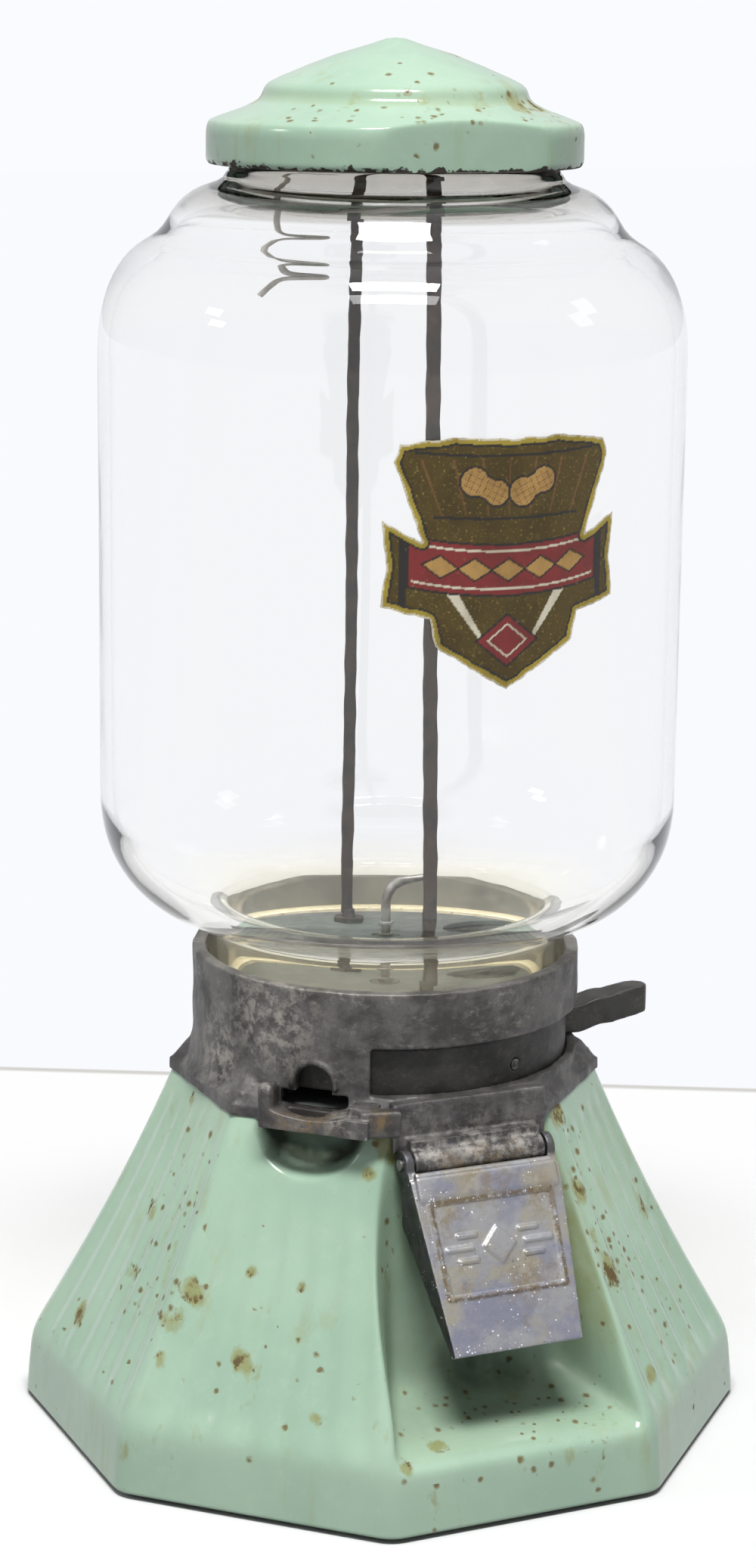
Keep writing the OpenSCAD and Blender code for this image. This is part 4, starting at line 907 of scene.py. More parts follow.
@dataclass(frozen=True)
class Foil(Finish):
    """Printed metal foil, scuffed, with a dull back."""

    layer: str = "badge_paint"
    shade: Colour = (0.72, 0.7, 0.66, 1.0)
    glint: Colour = srgb(190, 168, 92)
    scuff: Colour = srgb(176, 164, 116)
    back_light: Colour = srgb(128, 112, 66)
    back_dark: Colour = srgb(96, 82, 48)

    def material(self) -> Material:
        """Builds the printed face from the badge's painted colours."""
        s = Shade(self.name, (1.0, 1.0, 1.0, 1.0))
        s.coat(s.cloud(9, 0.38, 0.64, 4), self.shade)
        colour, foil = s.node("VertexColor", layer_name=self.layer).outputs
        s.colour = s.mix(1.0, colour, s.colour, "MULTIPLY")
        s.coat(s.times(s.cloud(0.8, 0.56, 0.72, 4, 0.7), foil), self.glint, 0.5)
        scuff = s.cloud(2.4, 0.6, 0.72, 6, 0.75)
        s.coat(scuff, self.scuff, 0.3)
        s.set(Roughness=s.add(scuff, 0.25, 0.3), Metallic=s.times(foil, 0.35))
        return s.bump(s.noise(1.5, 4), 0.1, 0.5)

    def back(self) -> Material:
        """Builds the dull back."""
        s = Shade(self.name + "_back", self.back_light)
        s.coat(s.cloud(5, 0.4, 0.62, 5), self.back_dark)
        s.set(Roughness=0.6)
        return s.material


def dress(piece: Piece, *materials: Material) -> None:
    """Gives a piece its materials."""
    piece.data.materials.clear()
    for material in materials:
        piece.data.materials.append(material)


def enlist(piece: Piece, finish: Finish | None, body: Body, slot: Slot, *nodes: str) -> None:
    """Gives a piece its finish and lets it ride on a body and stand for CAD nodes.

    Args:
        piece: Modelled piece.
        finish: Its finish, or none where it has its materials already.
        body: Body it moves with.
        slot: Material slot of the record; not used.
        nodes: CAD nodes that it stands for.
    """
    if finish:
        dress(piece, finish.material())
    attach(piece, body.value)
    if nodes:
        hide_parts(*nodes)
    LOG.info("piece %s: %d faces on %s", piece.name, len(piece.data.polygons), body.value)


@dataclass
class BaseCasting:
    """Pleated octagonal base with the delivery recess and the finger dimple."""

    foot_z: float = 1.4
    foot_roll: float = 0.9
    foot_rings: tuple[float, ...] = (0, 0.2, 0.5, 0.9, 1.4, 2.0, 2.7)
    sag: float = 0.9
    band_z: float = 18.0
    band_round: float = 1.6
    fine_z: float = 78.0
    top_z: float = 98.0
    foot_apo: float = 94.9
    band_apo: float = 93.7
    top_apo: float = 54.7
    corner_low: float = 9.0
    corner_high: float = 5.0
    pleats: int = 6
    pleat_depth: float = 1.1
    pleat_least: float = 0.85
    pleat_start: Span = (19.0, 27.0)
    pleat_end: Span = (86.0, 95.0)
    left_share: float = 0.85
    columns: int = 72
    wall: float = 3.0
    recess_back: float = 60.0
    recess_back_top: float = 52.3
    recess_half: float = 26.5
    recess_top_half: float = 24.0
    recess_floor_z: float = 28.0
    recess_rise: float = 9.0
    recess_rounds: Point = (7.0, 9.0, 2.6)
    recess_splay: Point = (0.333, 0.917, 1.5)
    recess_reach: float = 50.0
    soiled_half: float = 45.0
    foot_keep: float = 8.0
    dimple_half: float = 15.5
    dimple_depth: float = 10.5
    dimple_drop: float = 12.5
    dimple_round: float = 2.0
    dimple_flare: float = 26.0
    dimple_clear: Span = (62.0, 84.0)
    chute_half: float = 16.0
    chute_low: float = 64.0
    chute_high: float = 93.5
    chute_deep: Span = (-62.0, -45.0)
    coarse_gap: float = 3.4
    coarse_rings: int = 52
    fine_gap: float = 0.6
    fine_rings: int = 32

    def apothem(self, z: Array) -> Array:
        """Distance of the flats from the axis at a height."""
        up = (z - self.foot_z) / (self.band_z - self.foot_z)
        band = self.foot_apo + (self.band_apo - self.foot_apo) * up
        rise = (z - self.band_z) / (self.top_z - self.band_z)
        sag = self.sag * (2 * (2 * rise - 1) ** 2 - 1)
        slope = self.band_apo + (self.top_apo - self.band_apo) * rise + sag
        under = ((self.foot_z + self.foot_roll - z) / self.foot_roll).clip(0, 1)
        rolled = self.foot_roll * (1 - np.sqrt(np.clip(1 - under**2, 0, 1)))
        return soft_min(band, slope, self.band_round) - rolled

    def shape(self, places: Array) -> Array:
        """Moves the points of the plain octagon to the pleated casting."""
        z = places[:, 2]
        angle = np.arctan2(places[:, 0], -places[:, 1])
        facet = np.round(angle / EIGHTH)
        off = angle - facet * EIGHTH
        apo = self.apothem(z)
        rise = np.clip((z - self.band_z) / (self.top_z - self.band_z), 0, 1)
        soft = self.corner_low + (self.corner_high - self.corner_low) * rise
        middle = (apo - soft) / math.cos(HALF_EIGHTH)
        away = HALF_EIGHTH - np.abs(off)
        arc = middle * np.cos(away) + np.sqrt(np.clip(soft**2 - (middle * np.sin(away)) ** 2, 0, None))
        half = (apo - soft) * math.tan(HALF_EIGHTH)
        side = apo * np.tan(off)
        radius = np.where(np.abs(side) <= half, apo / np.cos(off), arc)
        x, y = radius * np.sin(angle), -radius * np.cos(angle)
        sink = self.pleat(z, facet, half, np.clip(side / half, -1, 1))
        x, y = x - sink * np.sin(facet * EIGHTH), y + sink * np.cos(facet * EIGHTH)
        x, y = self.dimple(x, y, z, facet == -1)
        return placed(x, self.recess(x, y, z), z)

    def pleat(self, z: Array, facet: Array, half: Array, share: Array) -> Array:
        """Depth of the pleats.

        Args:
            z: Heights of the points.
            facet: Numbers of their facets, from the front.
            half: Half widths of the facets at their heights.
            share: Places across the facets from -1 to 1.

        Returns:
            The depth at each point.
        """
        phase = (share + 1) / 2 * self.pleats
        wave = 0.5 - 0.5 * np.cos(2 * math.pi * phase)
        number = np.floor(phase) + 7 * (facet % 8)
        vary = self.pleat_least + (1 - self.pleat_least) * 2 * chance(number)
        depth = self.pleat_depth * half / half.max() * vary
        depth = np.where(facet == 0, 0, np.where(facet == -2, self.left_share * depth, depth))
        fade = ramp(z, *self.pleat_start) * (1 - ramp(z, *self.pleat_end))
        sink = depth * wave * fade * (np.abs(share) < 1)
        return np.where(facet == -1, sink * (1 - ramp(z, *self.dimple_clear)), sink)

    def dimple(self, x: Array, y: Array, z: Array, here: Array) -> tuple[Array, Array]:
        """Sinks the finger dimple into the front left facet."""
        side, reach = to_front_left(x, y)
        far = (side / self.dimple_half) ** 2 + ((self.top_z - z) / self.dimple_drop) ** 2
        face = self.apothem(np.array([self.top_z - self.dimple_drop / 2]))[0]
        bowl = face - self.dimple_depth * np.sqrt(np.clip(1 - far, 0, 1))
        bowl = bowl + self.dimple_flare * np.clip(far - 1, 0, None)
        sunk = np.where(here, soft_min(reach, bowl, self.dimple_round), reach) - reach
        return x - sunk * DIAGONAL, y - sunk * DIAGONAL

    def recess(self, x: Array, y: Array, z: Array) -> Array:
        """Sinks the delivery recess into the front."""
        back_round, floor_round, rim_round = self.recess_rounds
        rise = (z - self.recess_floor_z) / (self.top_z - self.recess_floor_z)
        back = -self.recess_back + (self.recess_back - self.recess_back_top) * rise
        half = self.recess_half + (self.recess_top_half - self.recess_half) * rise
        least, more, power = self.recess_splay
        splay = least + more * np.clip(rise, 0, 1) ** power
        sides = back - (np.abs(x) - half) / splay
        fall = (self.band_apo - self.recess_back) / self.recess_rise
        floor = -self.recess_back - (self.recess_floor_z - z) * fall
        hollow = soft_min(soft_min(back, sides, back_round), floor, floor_round)
        front = (y < 0) & (np.abs(x) < self.recess_reach) & (z > self.foot_z + self.foot_keep)
        return np.where(front, soft_max(y, hollow, rim_round), y)

    def scooped(self, places: Array) -> Array:
        """Distance from the middle of the finger dimple, where its rim is 1."""
        x, y, z = places.T
        side, _ = to_front_left(x, y)
        return np.hypot(side / self.dimple_half, (self.top_z - z) / self.dimple_drop)

    def sunk(self, places: Array) -> Array:
        """Depth of the delivery recess below the plain octagon, zero elsewhere."""
        x, y, z = places.T
        right, left = to_front_left(x, y)
        deep = self.apothem(z) - np.maximum(np.maximum(-y, left), right)
        inside = (np.abs(x) < self.soiled_half) & (y < 0) & (z > self.foot_z + self.foot_keep)
        return deep * (inside & (self.scooped(places) > 1.2))

    def shade_and_grime(self, places: Array) -> Array:
        """Share of painted shade with some grime: in the dimple, most at its rim, and in the delivery
        recess.
        """
        far = self.scooped(places)
        _, left = to_front_left(places[:, 0], places[:, 1])
        scoop = (1 - ramp(far, 0.86, 1.08)) * (0.5 + 0.5 * ramp(far, 0.5, 0.86)) * (left > 30)
        return np.maximum(scoop, 0.32 * ramp(self.sunk(places), 3, 16))

    def tarnish(self, places: Array) -> Array:
        """Share of olive tarnish: in the delivery recess, most high on its right side."""
        x, _, z = places.T
        return ramp(self.sunk(places), 0.2, 3) * (0.1 + 0.45 * ramp(x, 4, 22) * ramp(z, 30, 50))

    def in_chute(self, middle: Vector, normal: Vector) -> bool:
        """Tells whether a face lies where the chute comes through the back wall."""
        deep = self.chute_deep[0] < middle.y < self.chute_deep[1] and normal.y < -0.5
        return deep and abs(middle.x) < self.chute_half and self.chute_low < middle.z < self.chute_high

    def build(self, finish: Enamel) -> None:
        """Models the shell and gives it its enamel."""
        corner = self.foot_apo / math.cos(HALF_EIGHTH)
        heights = [self.foot_z + rise for rise in self.foot_rings]
        heights += list(np.linspace(self.foot_z + self.coarse_gap, self.fine_z, self.coarse_rings))
        heights += list(np.linspace(self.fine_z + self.fine_gap, self.top_z, self.fine_rings))
        piece = Bench.rings("enamelled_base", [(corner, z) for z in heights], 8, HALF_EIGHTH)
        Bench.pick_edges(piece, lambda a, b: abs(a.z - b.z) < 0.01)
        bpy.ops.mesh.subdivide(number_cuts=self.columns - 1)
        Bench.clear()
        Bench.push(piece, self.shape)
        # Painted shade with some grime in the dimple and the delivery recess
        Bench.paint(piece, "shade_and_grime", self.shade_and_grime)
        Bench.paint(piece, "tarnish", self.tarnish)
        Bench.pick_faces(piece, self.in_chute)
        bpy.ops.mesh.delete(type="FACE")
        Bench.face_out(piece)
        Bench.finish(piece, "SOLIDIFY", thickness=self.wall * MM, offset=-1.0)
        Bench.smooth(piece, 60)
        enlist(piece, finish, Body.MACHINE, Slot.ENAMEL, "base_shell")


@dataclass
class Collar:
    """Die-cast collar with its flange, coin arch, ledge and fascia."""

    ring_r: float = 54.0
    flange_z: float = 101.0
    flare: Outline = ((-1.5, 0), (3.4, 0.4), (1.5, 3.2), (0.5, 7), (-0.1, 12), (-1.5, 12), (-1.5, 0))
    flare_sweep: float = 195.0
    flare_start: float = 96.0
    arch_z: float = 108.7
    arch_r: float = 6.3
    hood_r: float = 0.75
    coin_dir: float = -45.0
    web: Point = (11, 4.6, 7.4)
    web_at: Point = (-26.5, -56.2, 102)
    web_dir: float = -16.0
    lug: Point = (4.4, 5.4, 9.4)
    lug_at: Point = (-10.2, -60.8, 105.6)
    plug: Point = (3.6, 2.4, 1.8)
    plug_at: Point = (0, -57.0, 103.0)
    bolt_dirs: tuple[float, ...] = (-157.5, -67.5, 67.5, 157.5)
    seat_half: float = 9.8
    seat_reach: float = 7.6
    seat_fade: Span = (105.0, 107.0)
    worn: float = 1.5
    worn_at: float = 2.0
    worn_half: float = 10.0
    rim_out: Span = (57.5, 59.5)
    rim_up: Span = (99.6, 101.6)
    rim_side: float = 64.0
    uneven: float = 0.09
    grain: float = 0.5

    def dish(self, places: Array) -> Array:
        """Wears the front edge of the coin ledge hollow and the whole casting uneven."""
        x, y, z = places.T
        along, out = to_front_left(x, y)
        here = ramp(out, *self.rim_out) * ramp(z, *self.rim_up) * (np.abs(x) < self.rim_side)
        hollow = self.worn * np.clip(1 - ((along - self.worn_at) / self.worn_half) ** 2, 0, 1)
        wave = self.uneven * (np.sin(x * 0.61 + z * 0.43) + np.sin(y * 0.53 - z * 0.37 + x * 0.2))
        r = np.hypot(x, y)
        return placed(x + wave * x / r, y + wave * y / r, z - here * hollow)

    def shade_and_grime(self, places: Array) -> Array:
        """Share of painted shade: on the seat of the coin, behind the ledge's rim, so that it reads as a
        deep hollow.
        """
        x, y, z = places.T
        along, out = to_front_left(x, y)
        far = np.hypot(along / self.seat_half, (out - self.ring_r) / self.seat_reach)
        return (1 - ramp(far, 0.7, 1)) * (1 - ramp(z, *self.seat_fade)) * (out > 0)

    def skirt(self) -> Piece:
        """Flared foot of the ring, with closed ends."""
        line = [(self.ring_r + out, self.flange_z + up) for out, up in self.flare]
        piece = Bench.lathe("collar_skirt", line, 60, self.flare_sweep, self.flare_start)
        Bench.edit(piece)
        bpy.ops.mesh.fill_holes(sides=0)
        Bench.face_out(piece)
        return piece

    def hood(self) -> Piece:
        """Raised rim over the coin arch."""
        a = math.radians(self.coin_dir)
        spot = Vector((math.sin(a) * self.ring_r, -math.cos(a) * self.ring_r, self.arch_z)) * MM
        bpy.ops.mesh.primitive_torus_add(
            location=spot,
            rotation=(math.radians(90), 0, a),
            major_radius=self.arch_r * MM,
            minor_radius=self.hood_r * MM,
            major_segments=40,
            minor_segments=12,
        )
        piece = Bench.named("arch_hood")
        Bench.pick_faces(piece, lambda middle, normal: middle.z < self.arch_z - 1)
        bpy.ops.mesh.delete(type="FACE")
        Bench.edit(piece)
        bpy.ops.mesh.select_all(action="DESELECT")
        bpy.ops.mesh.select_non_manifold()
        bpy.ops.mesh.edge_face_add()
        Bench.face_out(piece)
        return piece

    def build(self, finish: Casting) -> None:
        """Melts the CAD form and its cast swellings into one casting."""
        piece = Bench.copy_node("cast_collar", "mechanism_body")
        parts = [self.skirt(), self.hood()]
        bridge = Matrix.Translation(self.web_at) @ Matrix.Rotation(math.radians(self.web_dir), 4, "Z")
        parts.append(Bench.block("ledge_web", self.web, bridge, 0.8))
        blocks = [("ledge_lug", self.coin_dir, self.lug, self.lug_at, 1.1)]
        blocks += [("bolt_plug", angle, self.plug, self.plug_at, 0.5) for angle in self.bolt_dirs]
        for name, angle, size, at, bevel in blocks:
            spot = Matrix.Rotation(math.radians(angle), 4, "Z") @ Matrix.Translation(at)
            parts.append(Bench.block(name, size, spot, bevel))
        Bench.join(piece, parts)
        Bench.recast(piece, self.grain, 2)
        Bench.push(piece, self.dish)
        # Painted shade on the seat of the coin
        Bench.paint(piece, "shade_and_grime", self.shade_and_grime)
        enlist(piece, finish, Body.MACHINE, Slot.CASTING, "mechanism_body")


@dataclass
class LeverDrum:
    """Turning drum with the operating lever."""

    grain: float = 0.55
    bend: Span = (55.0, 63.0)
    rise: float = 1.8

    def lift(self, places: Array) -> Array:
        """Bends the lever up outside the collar."""
        far = np.hypot(places[:, 0], places[:, 1])
        up = self.rise * ramp(far, *self.bend)
        return places + up[:, None] * np.array([0, 0, 1])

    def build(self, finish: Casting) -> None:
        """Softens the CAD form to a casting."""
        piece = Bench.copy_node("cast_lever_drum", "lever_drum")
        Bench.recast(piece, self.grain, 4)
        Bench.push(piece, self.lift)
        enlist(piece, finish, Body.ROTOR, Slot.CASTING, "lever_drum")


@dataclass
class DeliveryFlap:
    """Hinged delivery flap with a plain raised ornament in its panel."""

    hinge_y: float = -60.0
    hinge_z: float = 91.0
    lean: float = 28.4
    face: float = 4.1
    panel_mid: float = 22.5
    lozenge: float = 7.0
    bars: Outline = ((8.5, 0), (6.0, 3.2), (6.0, -3.2))
    bar_at: float = 7.2
    bar_w: float = 1.3
    bar_shift: float = 0.6
    lip: Point = (40.5, 1.5, 2.4)
    lip_at: float = 4.4
    lip_sink: float = 0.75
    roll: Point = (41.5, 1.8, 5.6)
    roll_at: float = 7.2
    raise_by: float = 0.6
    drawn_at: tuple[float, ...] = (5.2, 10.3, 34.7, 50)
    drawn_by: tuple[float, ...] = (0, 1.7, 3.0, 2.6)
    grain: float = 0.33

    def place(self, x: float, drop: float, turn: float = 0.0, sink: float = 0.0) -> Matrix:
        """Place on or under the flap's face, some way down from the hinge, turned in its plane."""
        hinge = Matrix.Translation((0, self.hinge_y, self.hinge_z))
        lean = Matrix.Rotation(-math.radians(self.lean), 4, "X")
        spot = Matrix.Translation((x, sink - self.face, -drop))
        return hinge @ lean @ spot @ Matrix.Rotation(math.radians(turn), 4, "Y")

    def draw(self, places: Array) -> Array:
        """Draws the face a little longer below its roll."""
        lean = math.radians(self.lean)
        down = np.array([0, -math.sin(lean), -math.cos(lean)])
        drop = (places - [0, self.hinge_y, self.hinge_z]) @ down
        more = np.interp(drop, self.drawn_at, self.drawn_by)
        return places + more[:, None] * down

    def build(self, finish: FlapMetal) -> None:
        """Melts the CAD form and the ornament into one casting."""
        piece = Bench.copy_node("cast_flap", "chute_flap")
        depth = 2 * self.raise_by
        size = (self.lozenge, depth, self.lozenge)
        parts = [Bench.block("flap_lozenge", size, self.place(0, self.panel_mid, 45), 0.3)]
        for side in (-1, 1):
            for row, (length, offset) in enumerate(self.bars):
                x = side * (self.bar_at + length / 2 - self.bar_shift * row)
                spot = self.place(x, self.panel_mid + offset)
                parts.append(Bench.block(f"flap_bar_{side}_{row}", (length, depth, self.bar_w), spot, 0.3))
        parts.append(Bench.block("flap_lip", self.lip, self.place(0, self.lip_at, 0, self.lip_sink), 0.4))
        parts.append(Bench.block("flap_roll", self.roll, self.place(0, self.roll_at), 0.8))
        Bench.join(piece, parts)
        Bench.recast(piece, self.grain, 3)
        Bench.push(piece, self.draw)
        enlist(piece, finish, Body.FLAP, Slot.FLAP, "chute_flap")


@dataclass
class Globe:
    """Clear glass globe with its heel, shoulder, stepped dome and neck."""

    wall: float = 3.2
    foot_r: float = 47.5
    foot_z: float = 125.8
    belly_z: float = 175.8
    belly_reach: float = 32.0
    belly_drop: float = 32.0
    shoulder_r: float = 61.4
    shoulder_z: float = 301.8
    shoulder_reach: float = 18.1
    shoulder_rise: float = 29.0
    dome_z: float = 330.8
    neck_r: float = 44.5
    dome_reach: float = 16.9
    dome_rise: float = 14.3
    rim_z: float = 349.4
    spacing: float = 2.4

    def line(self, inset: float) -> Array:
        """Evenly spaced points up one face of the wall, with soft joints."""
        arcs = (
            (self.foot_r, self.belly_z, self.belly_reach, self.belly_drop, -90, 0),
            (self.shoulder_r, self.shoulder_z, self.shoulder_reach, self.shoulder_rise, 0, 84),
            (self.neck_r, self.dome_z, self.dome_reach, self.dome_rise, 12, 90),
        )
        points = [np.array([[self.foot_r - inset, self.foot_z]])]
        for r, z, reach, rise, first, last in arcs:
            a = np.radians(np.linspace(first, last, 40))
            points.append(placed(r - inset + reach * np.cos(a), z + (rise - inset) * np.sin(a)))
        points.append(np.array([[self.neck_r - inset, self.rim_z]]))
        path = np.concatenate(points)
        line = spread(path, int(lengths(path)[-1] / self.spacing))
        heel = int(np.argmax(line[:, 1] > self.belly_z))
        for count, last in ((3, len(line)), (10 if inset else 3, heel)):
            for _ in range(count):
                relax(line[:last])
        return line

    def build(self, finish: Glass) -> None:
        """Blows the globe."""
        outer, inner = self.line(0.0), self.line(self.wall)
        lip = self.wall / 2
        rim_r, rim_z = self.neck_r - lip, self.rim_z - lip
        turns = np.radians(range(30, 151, 30))
        round_lip = [(rim_r + lip * math.cos(a), rim_z + lip * math.sin(a)) for a in turns]
        outline = [*outer[:-1], (self.neck_r, rim_z), *round_lip, (self.neck_r - self.wall, rim_z)]
        outline += [*inner[::-1][1:], outer[0]]
        piece = Bench.lathe("clear_globe", outline, 192)
        Bench.smooth(piece, 60)
        enlist(piece, finish, Body.MACHINE, Slot.GLASS, "glass_globe")


@dataclass
class Badge:
    """Foil badge of a plain design on the globe's front."""

    radius: float = 79.58
    thick: float = 0.06
    middle: float = -2.45
    middle_z: float = 254.2
    half_w: float = 33.4
    half_h: float = 32.4
    columns: int = 210
    rows: int = 204
    right_edge: Outline = (
        (0, 31.6), (15, 32.2), (28.5, 30.5), (30, 26), (22.6, 6), (32.8, 11.5), (31.6, 0),
        (33, -10.5), (20.5, -13.6), (19, -20.8), (0, -32.2),
    )

    def depth(self, u: Array, v: Array) -> Array:
        """Distance inside the worn, uneven outline, less than zero outside."""
        left_edge = [(-x, z) for x, z in self.right_edge[-2:0:-1]]
        corners = np.array([*self.right_edge, *left_edge], float)
        near = np.full(u.shape, 1e9)
        inside = np.zeros(u.shape, bool)
        for (ax, ay), (bx, by) in zip(corners, np.roll(corners, -1, axis=0)):
            dx, dy = bx - ax, by - ay
            t = np.clip(((u - ax) * dx + (v - ay) * dy) / (dx * dx + dy * dy), 0, 1)
            near = np.minimum(near, np.hypot(u - ax - t * dx, v - ay - t * dy))
            cross = (ay > v) != (by > v)
            inside ^= cross & (u < ax + (v - ay) * dx / (dy if dy else 1e-9))
        torn = 0.12 * np.sin(u * 0.7 + np.cos(v * 0.5) * 2) + 0.1 * np.sin(v * 1.1 + np.sin(u * 0.9) * 2.4)
        return np.where(inside, near, -near) + torn

    def paint(self, u: Array, v: Array, deep: Array) -> Array:
        """Colours of the badge's design; the fourth number is its share of foil."""
        inks = ((84, 69, 28, 1.0), (172, 152, 58, 1.0), (228, 221, 198, 0.0), (30, 25, 20, 0.0))
        inks += ((132, 40, 38, 0.0), (190, 150, 86, 0.2), (118, 82, 40, 0.0))
        foil, gold, cream, black, red, tan, brown = (np.array([*srgb(*ink[:3])[:3], ink[3]]) for ink in inks)
        side = np.abs(u)
        ray = np.abs(side - (5 + (v + 22) * 0.66)) < 0.4 + (v + 22) * 0.075
        fan = np.abs(np.sin(np.arctan2(u, v + 34) * 26)) < 0.12
        bow = v + 1.5 - 0.004 * u * u
        band = np.abs(bow) - 6.2
        layers = [
            (ray & (v > -22) & (v < 13), cream),
            ((side > 26.6) & (side < 28.6) & (v < 9), black),
            (fan & (v > 12.4) & (v < 27), brown),
            ((band < 0.6) & (side < 26.6), black),
            ((band < 0) & (side < 26), red),
            ((np.abs(band + 1.4) < 0.28) & (side < 25.2), cream),
        ]
        for place in (-18, -9, 0, 9, 18):
            disc = np.hypot((u - place) / 1.15, bow) - 1.4
            star = np.minimum(disc, np.abs(u - place) * 0.62 + np.abs(bow) - 2.6)
            layers += [(star < 0.55, black), (star < 0, tan)]
        for turn, shift in ((0.45, -6.5), (-0.45, 6.5)):
            along = (u - shift) * math.cos(turn) - (v - 19.6) * math.sin(turn)
            across = (u - shift) * math.sin(turn) + (v - 19.6) * math.cos(turn)
            lobes = np.minimum(np.hypot(along + 3.2, across) - 3.5, np.hypot(along - 3.4, across) - 3.1)
            pod = np.minimum(lobes, np.maximum(np.abs(along) - 3, np.abs(across) - 2.5))
            ribs = (np.abs(np.sin(along * 1.9)) < 0.15) | (np.abs(np.sin(across * 2.0 + 0.4)) < 0.13)
            layers += [(pod < 0.6, black), (pod < 0, tan), ((pod < -0.45) & ribs, brown)]
        gem = side * 0.8 + np.abs(v + 19.5) - 6.4
        layers += [(gem < 0.7, black), (gem < 0, red), (np.abs(gem + 2.2) < 0.3, cream)]
        for level in (11.6, 27.4):
            rule = np.abs(v - level - 0.002 * u * u) < 0.35
            layers.append((rule & (side < 20 + (level - 12) * 0.3), black))
        layers += [((deep > 1.5) & (deep < 2.1), black), (deep < 1.5, gold), (deep < 0.45, cream)]
        paint = np.tile(foil, (u.size, 1))
        for where, ink in layers:
            paint[where] = ink
        return paint

    def wrap(self, places: Array) -> Array:
        """Lays the flat badge round the globe."""
        angle = math.radians(self.middle) + places[:, 0] / self.radius
        x, y = self.radius * np.sin(angle), -self.radius * np.cos(angle)
        return placed(x, y, self.middle_z + places[:, 1])

    def build(self, finish: Foil) -> None:
        """Cuts the badge from a grid and lays it round the globe."""
        Bench.clear()
        bpy.ops.mesh.primitive_grid_add(x_subdivisions=self.columns, y_subdivisions=self.rows, size=2)
        piece = bpy.context.object
        piece.scale = (self.half_w * MM, self.half_h * MM, 1)
        Bench.named("foil_badge")
        u, v, _ = Bench.places(piece).T
        deep = self.depth(u, v)
        tiny = 0.05
        slope_u = (self.depth(u + tiny, v) - deep) / tiny
        slope_v = (self.depth(u, v + tiny) - deep) / tiny
        reach = 0.6 * 2 * self.half_w / self.columns
        rim = (np.abs(deep) < reach) / np.maximum(np.hypot(slope_u, slope_v), 0.3) * deep
        Bench.push(piece, lambda places: places - placed(rim * slope_u, rim * slope_v, 0 * u))
        layer = piece.data.color_attributes.new(finish.layer, "FLOAT_COLOR", "POINT")
        layer.data.foreach_set("color", self.paint(u, v, deep).astype(np.float32).ravel())
        Bench.select(piece, Part.POINT, deep < -reach)
        bpy.ops.mesh.delete(type="VERT")
        Bench.clear()
        Bench.push(piece, self.wrap)
        dress(piece, finish.material(), finish.back())
        Bench.finish(piece, "SOLIDIFY", thickness=self.thick * MM, offset=1.0, material_offset=1)
        Bench.smooth(piece, 60)
        enlist(piece, None, Body.MACHINE, Slot.BRASS)


@dataclass
class TieStraps:
    """Rusted flat tie straps with round ends."""

    at: float = 27.0
    widths: Span = (3.9, 3.4)
    thick: float = 1.4
    low: float = 129.3
    high: float = 343.4
    stud_r: float = 1.9
    stud_low: float = 121.3
    stud_top: float = 356.9
    lap: float = 2.0
    held: float = 25.0
    sway: Span = (0.25, 0.3)
    leans: tuple[tuple[float, float], ...] = ((1.15, -1.1), (-0.5, 1.1))

    def weather(self, index: int, y: float) -> Move:
        """Move that bends a strap and frets its edges."""

        def move(places: Array) -> Array:
            x, deep, z = places.T
            free = ramp(z, self.low, self.low + self.held) * (1 - ramp(z, self.high - self.held, self.high))
            phase = 1.9 * np.sign(x) + 0.31 * y
            fret = 0.16 * np.sin(z * 0.47 + phase) * np.sin(z * 0.083 + phase)
            fret = fret + 0.06 * np.sin(z * 2.9 + phase)
            bend = np.sin(z * 0.031 + y) + 0.22 * np.sin(z * 0.123 + 2 * y) * np.sin(z * 0.041)
            bend = self.sway[index] * free * bend + np.interp(z, [self.low, self.high], self.leans[index])
            new_x = x + np.sign(x) * fret * (np.abs(x) > 0.5) + bend
            return placed(new_x, deep + 0.06 * np.sin(z * 1.3) * np.sign(deep - y), z)

        return move

    def strap(self, name: str, node: str, index: int, finish: Rust) -> None:
        """Models one strap.

        Args:
            name: Name of the piece.
            node: CAD node it stands for.
            index: Its number, the front one first.
            finish: Its finish.
        """
        y = self.at if index else -self.at
        length = self.high - self.low
        middle = Matrix.Translation((0, y, (self.low + self.high) / 2))
        piece = Bench.block(name, (self.widths[index], self.thick, length), middle, 0.35)
        Bench.pick_edges(piece, lambda a, b: abs(a.z - b.z) > length / 2)
        bpy.ops.mesh.subdivide(number_cuts=220)
        Bench.clear()
        studs = []
        for foot, top in ((self.stud_low, self.low + self.lap), (self.high - self.lap, self.stud_top)):
            Bench.clear()
            spot = (0, y * MM, (foot + top) / 2 * MM)
            bpy.ops.mesh.primitive_cylinder_add(
                vertices=32, radius=self.stud_r * MM, depth=(top - foot) * MM, location=spot
            )
            studs.append(Bench.named("strap_stud"))
            Bench.edit(studs[-1])
            bpy.ops.mesh.bevel(offset=0.25 * MM, segments=2, affect="EDGES")
        Bench.clear()
        Bench.push(piece, self.weather(index, y))
        Bench.join(piece, studs)
        Bench.face_out(piece)
        Bench.smooth(piece, 50)
        enlist(piece, finish, Body.MACHINE, Slot.RUST, node)

    def build(self, finish: Rust) -> None:
        """Models both straps."""
        self.strap("front_tie_strap", "front_strap", 0, finish)
        self.strap("rear_tie_strap", "rear_strap", 1, finish)


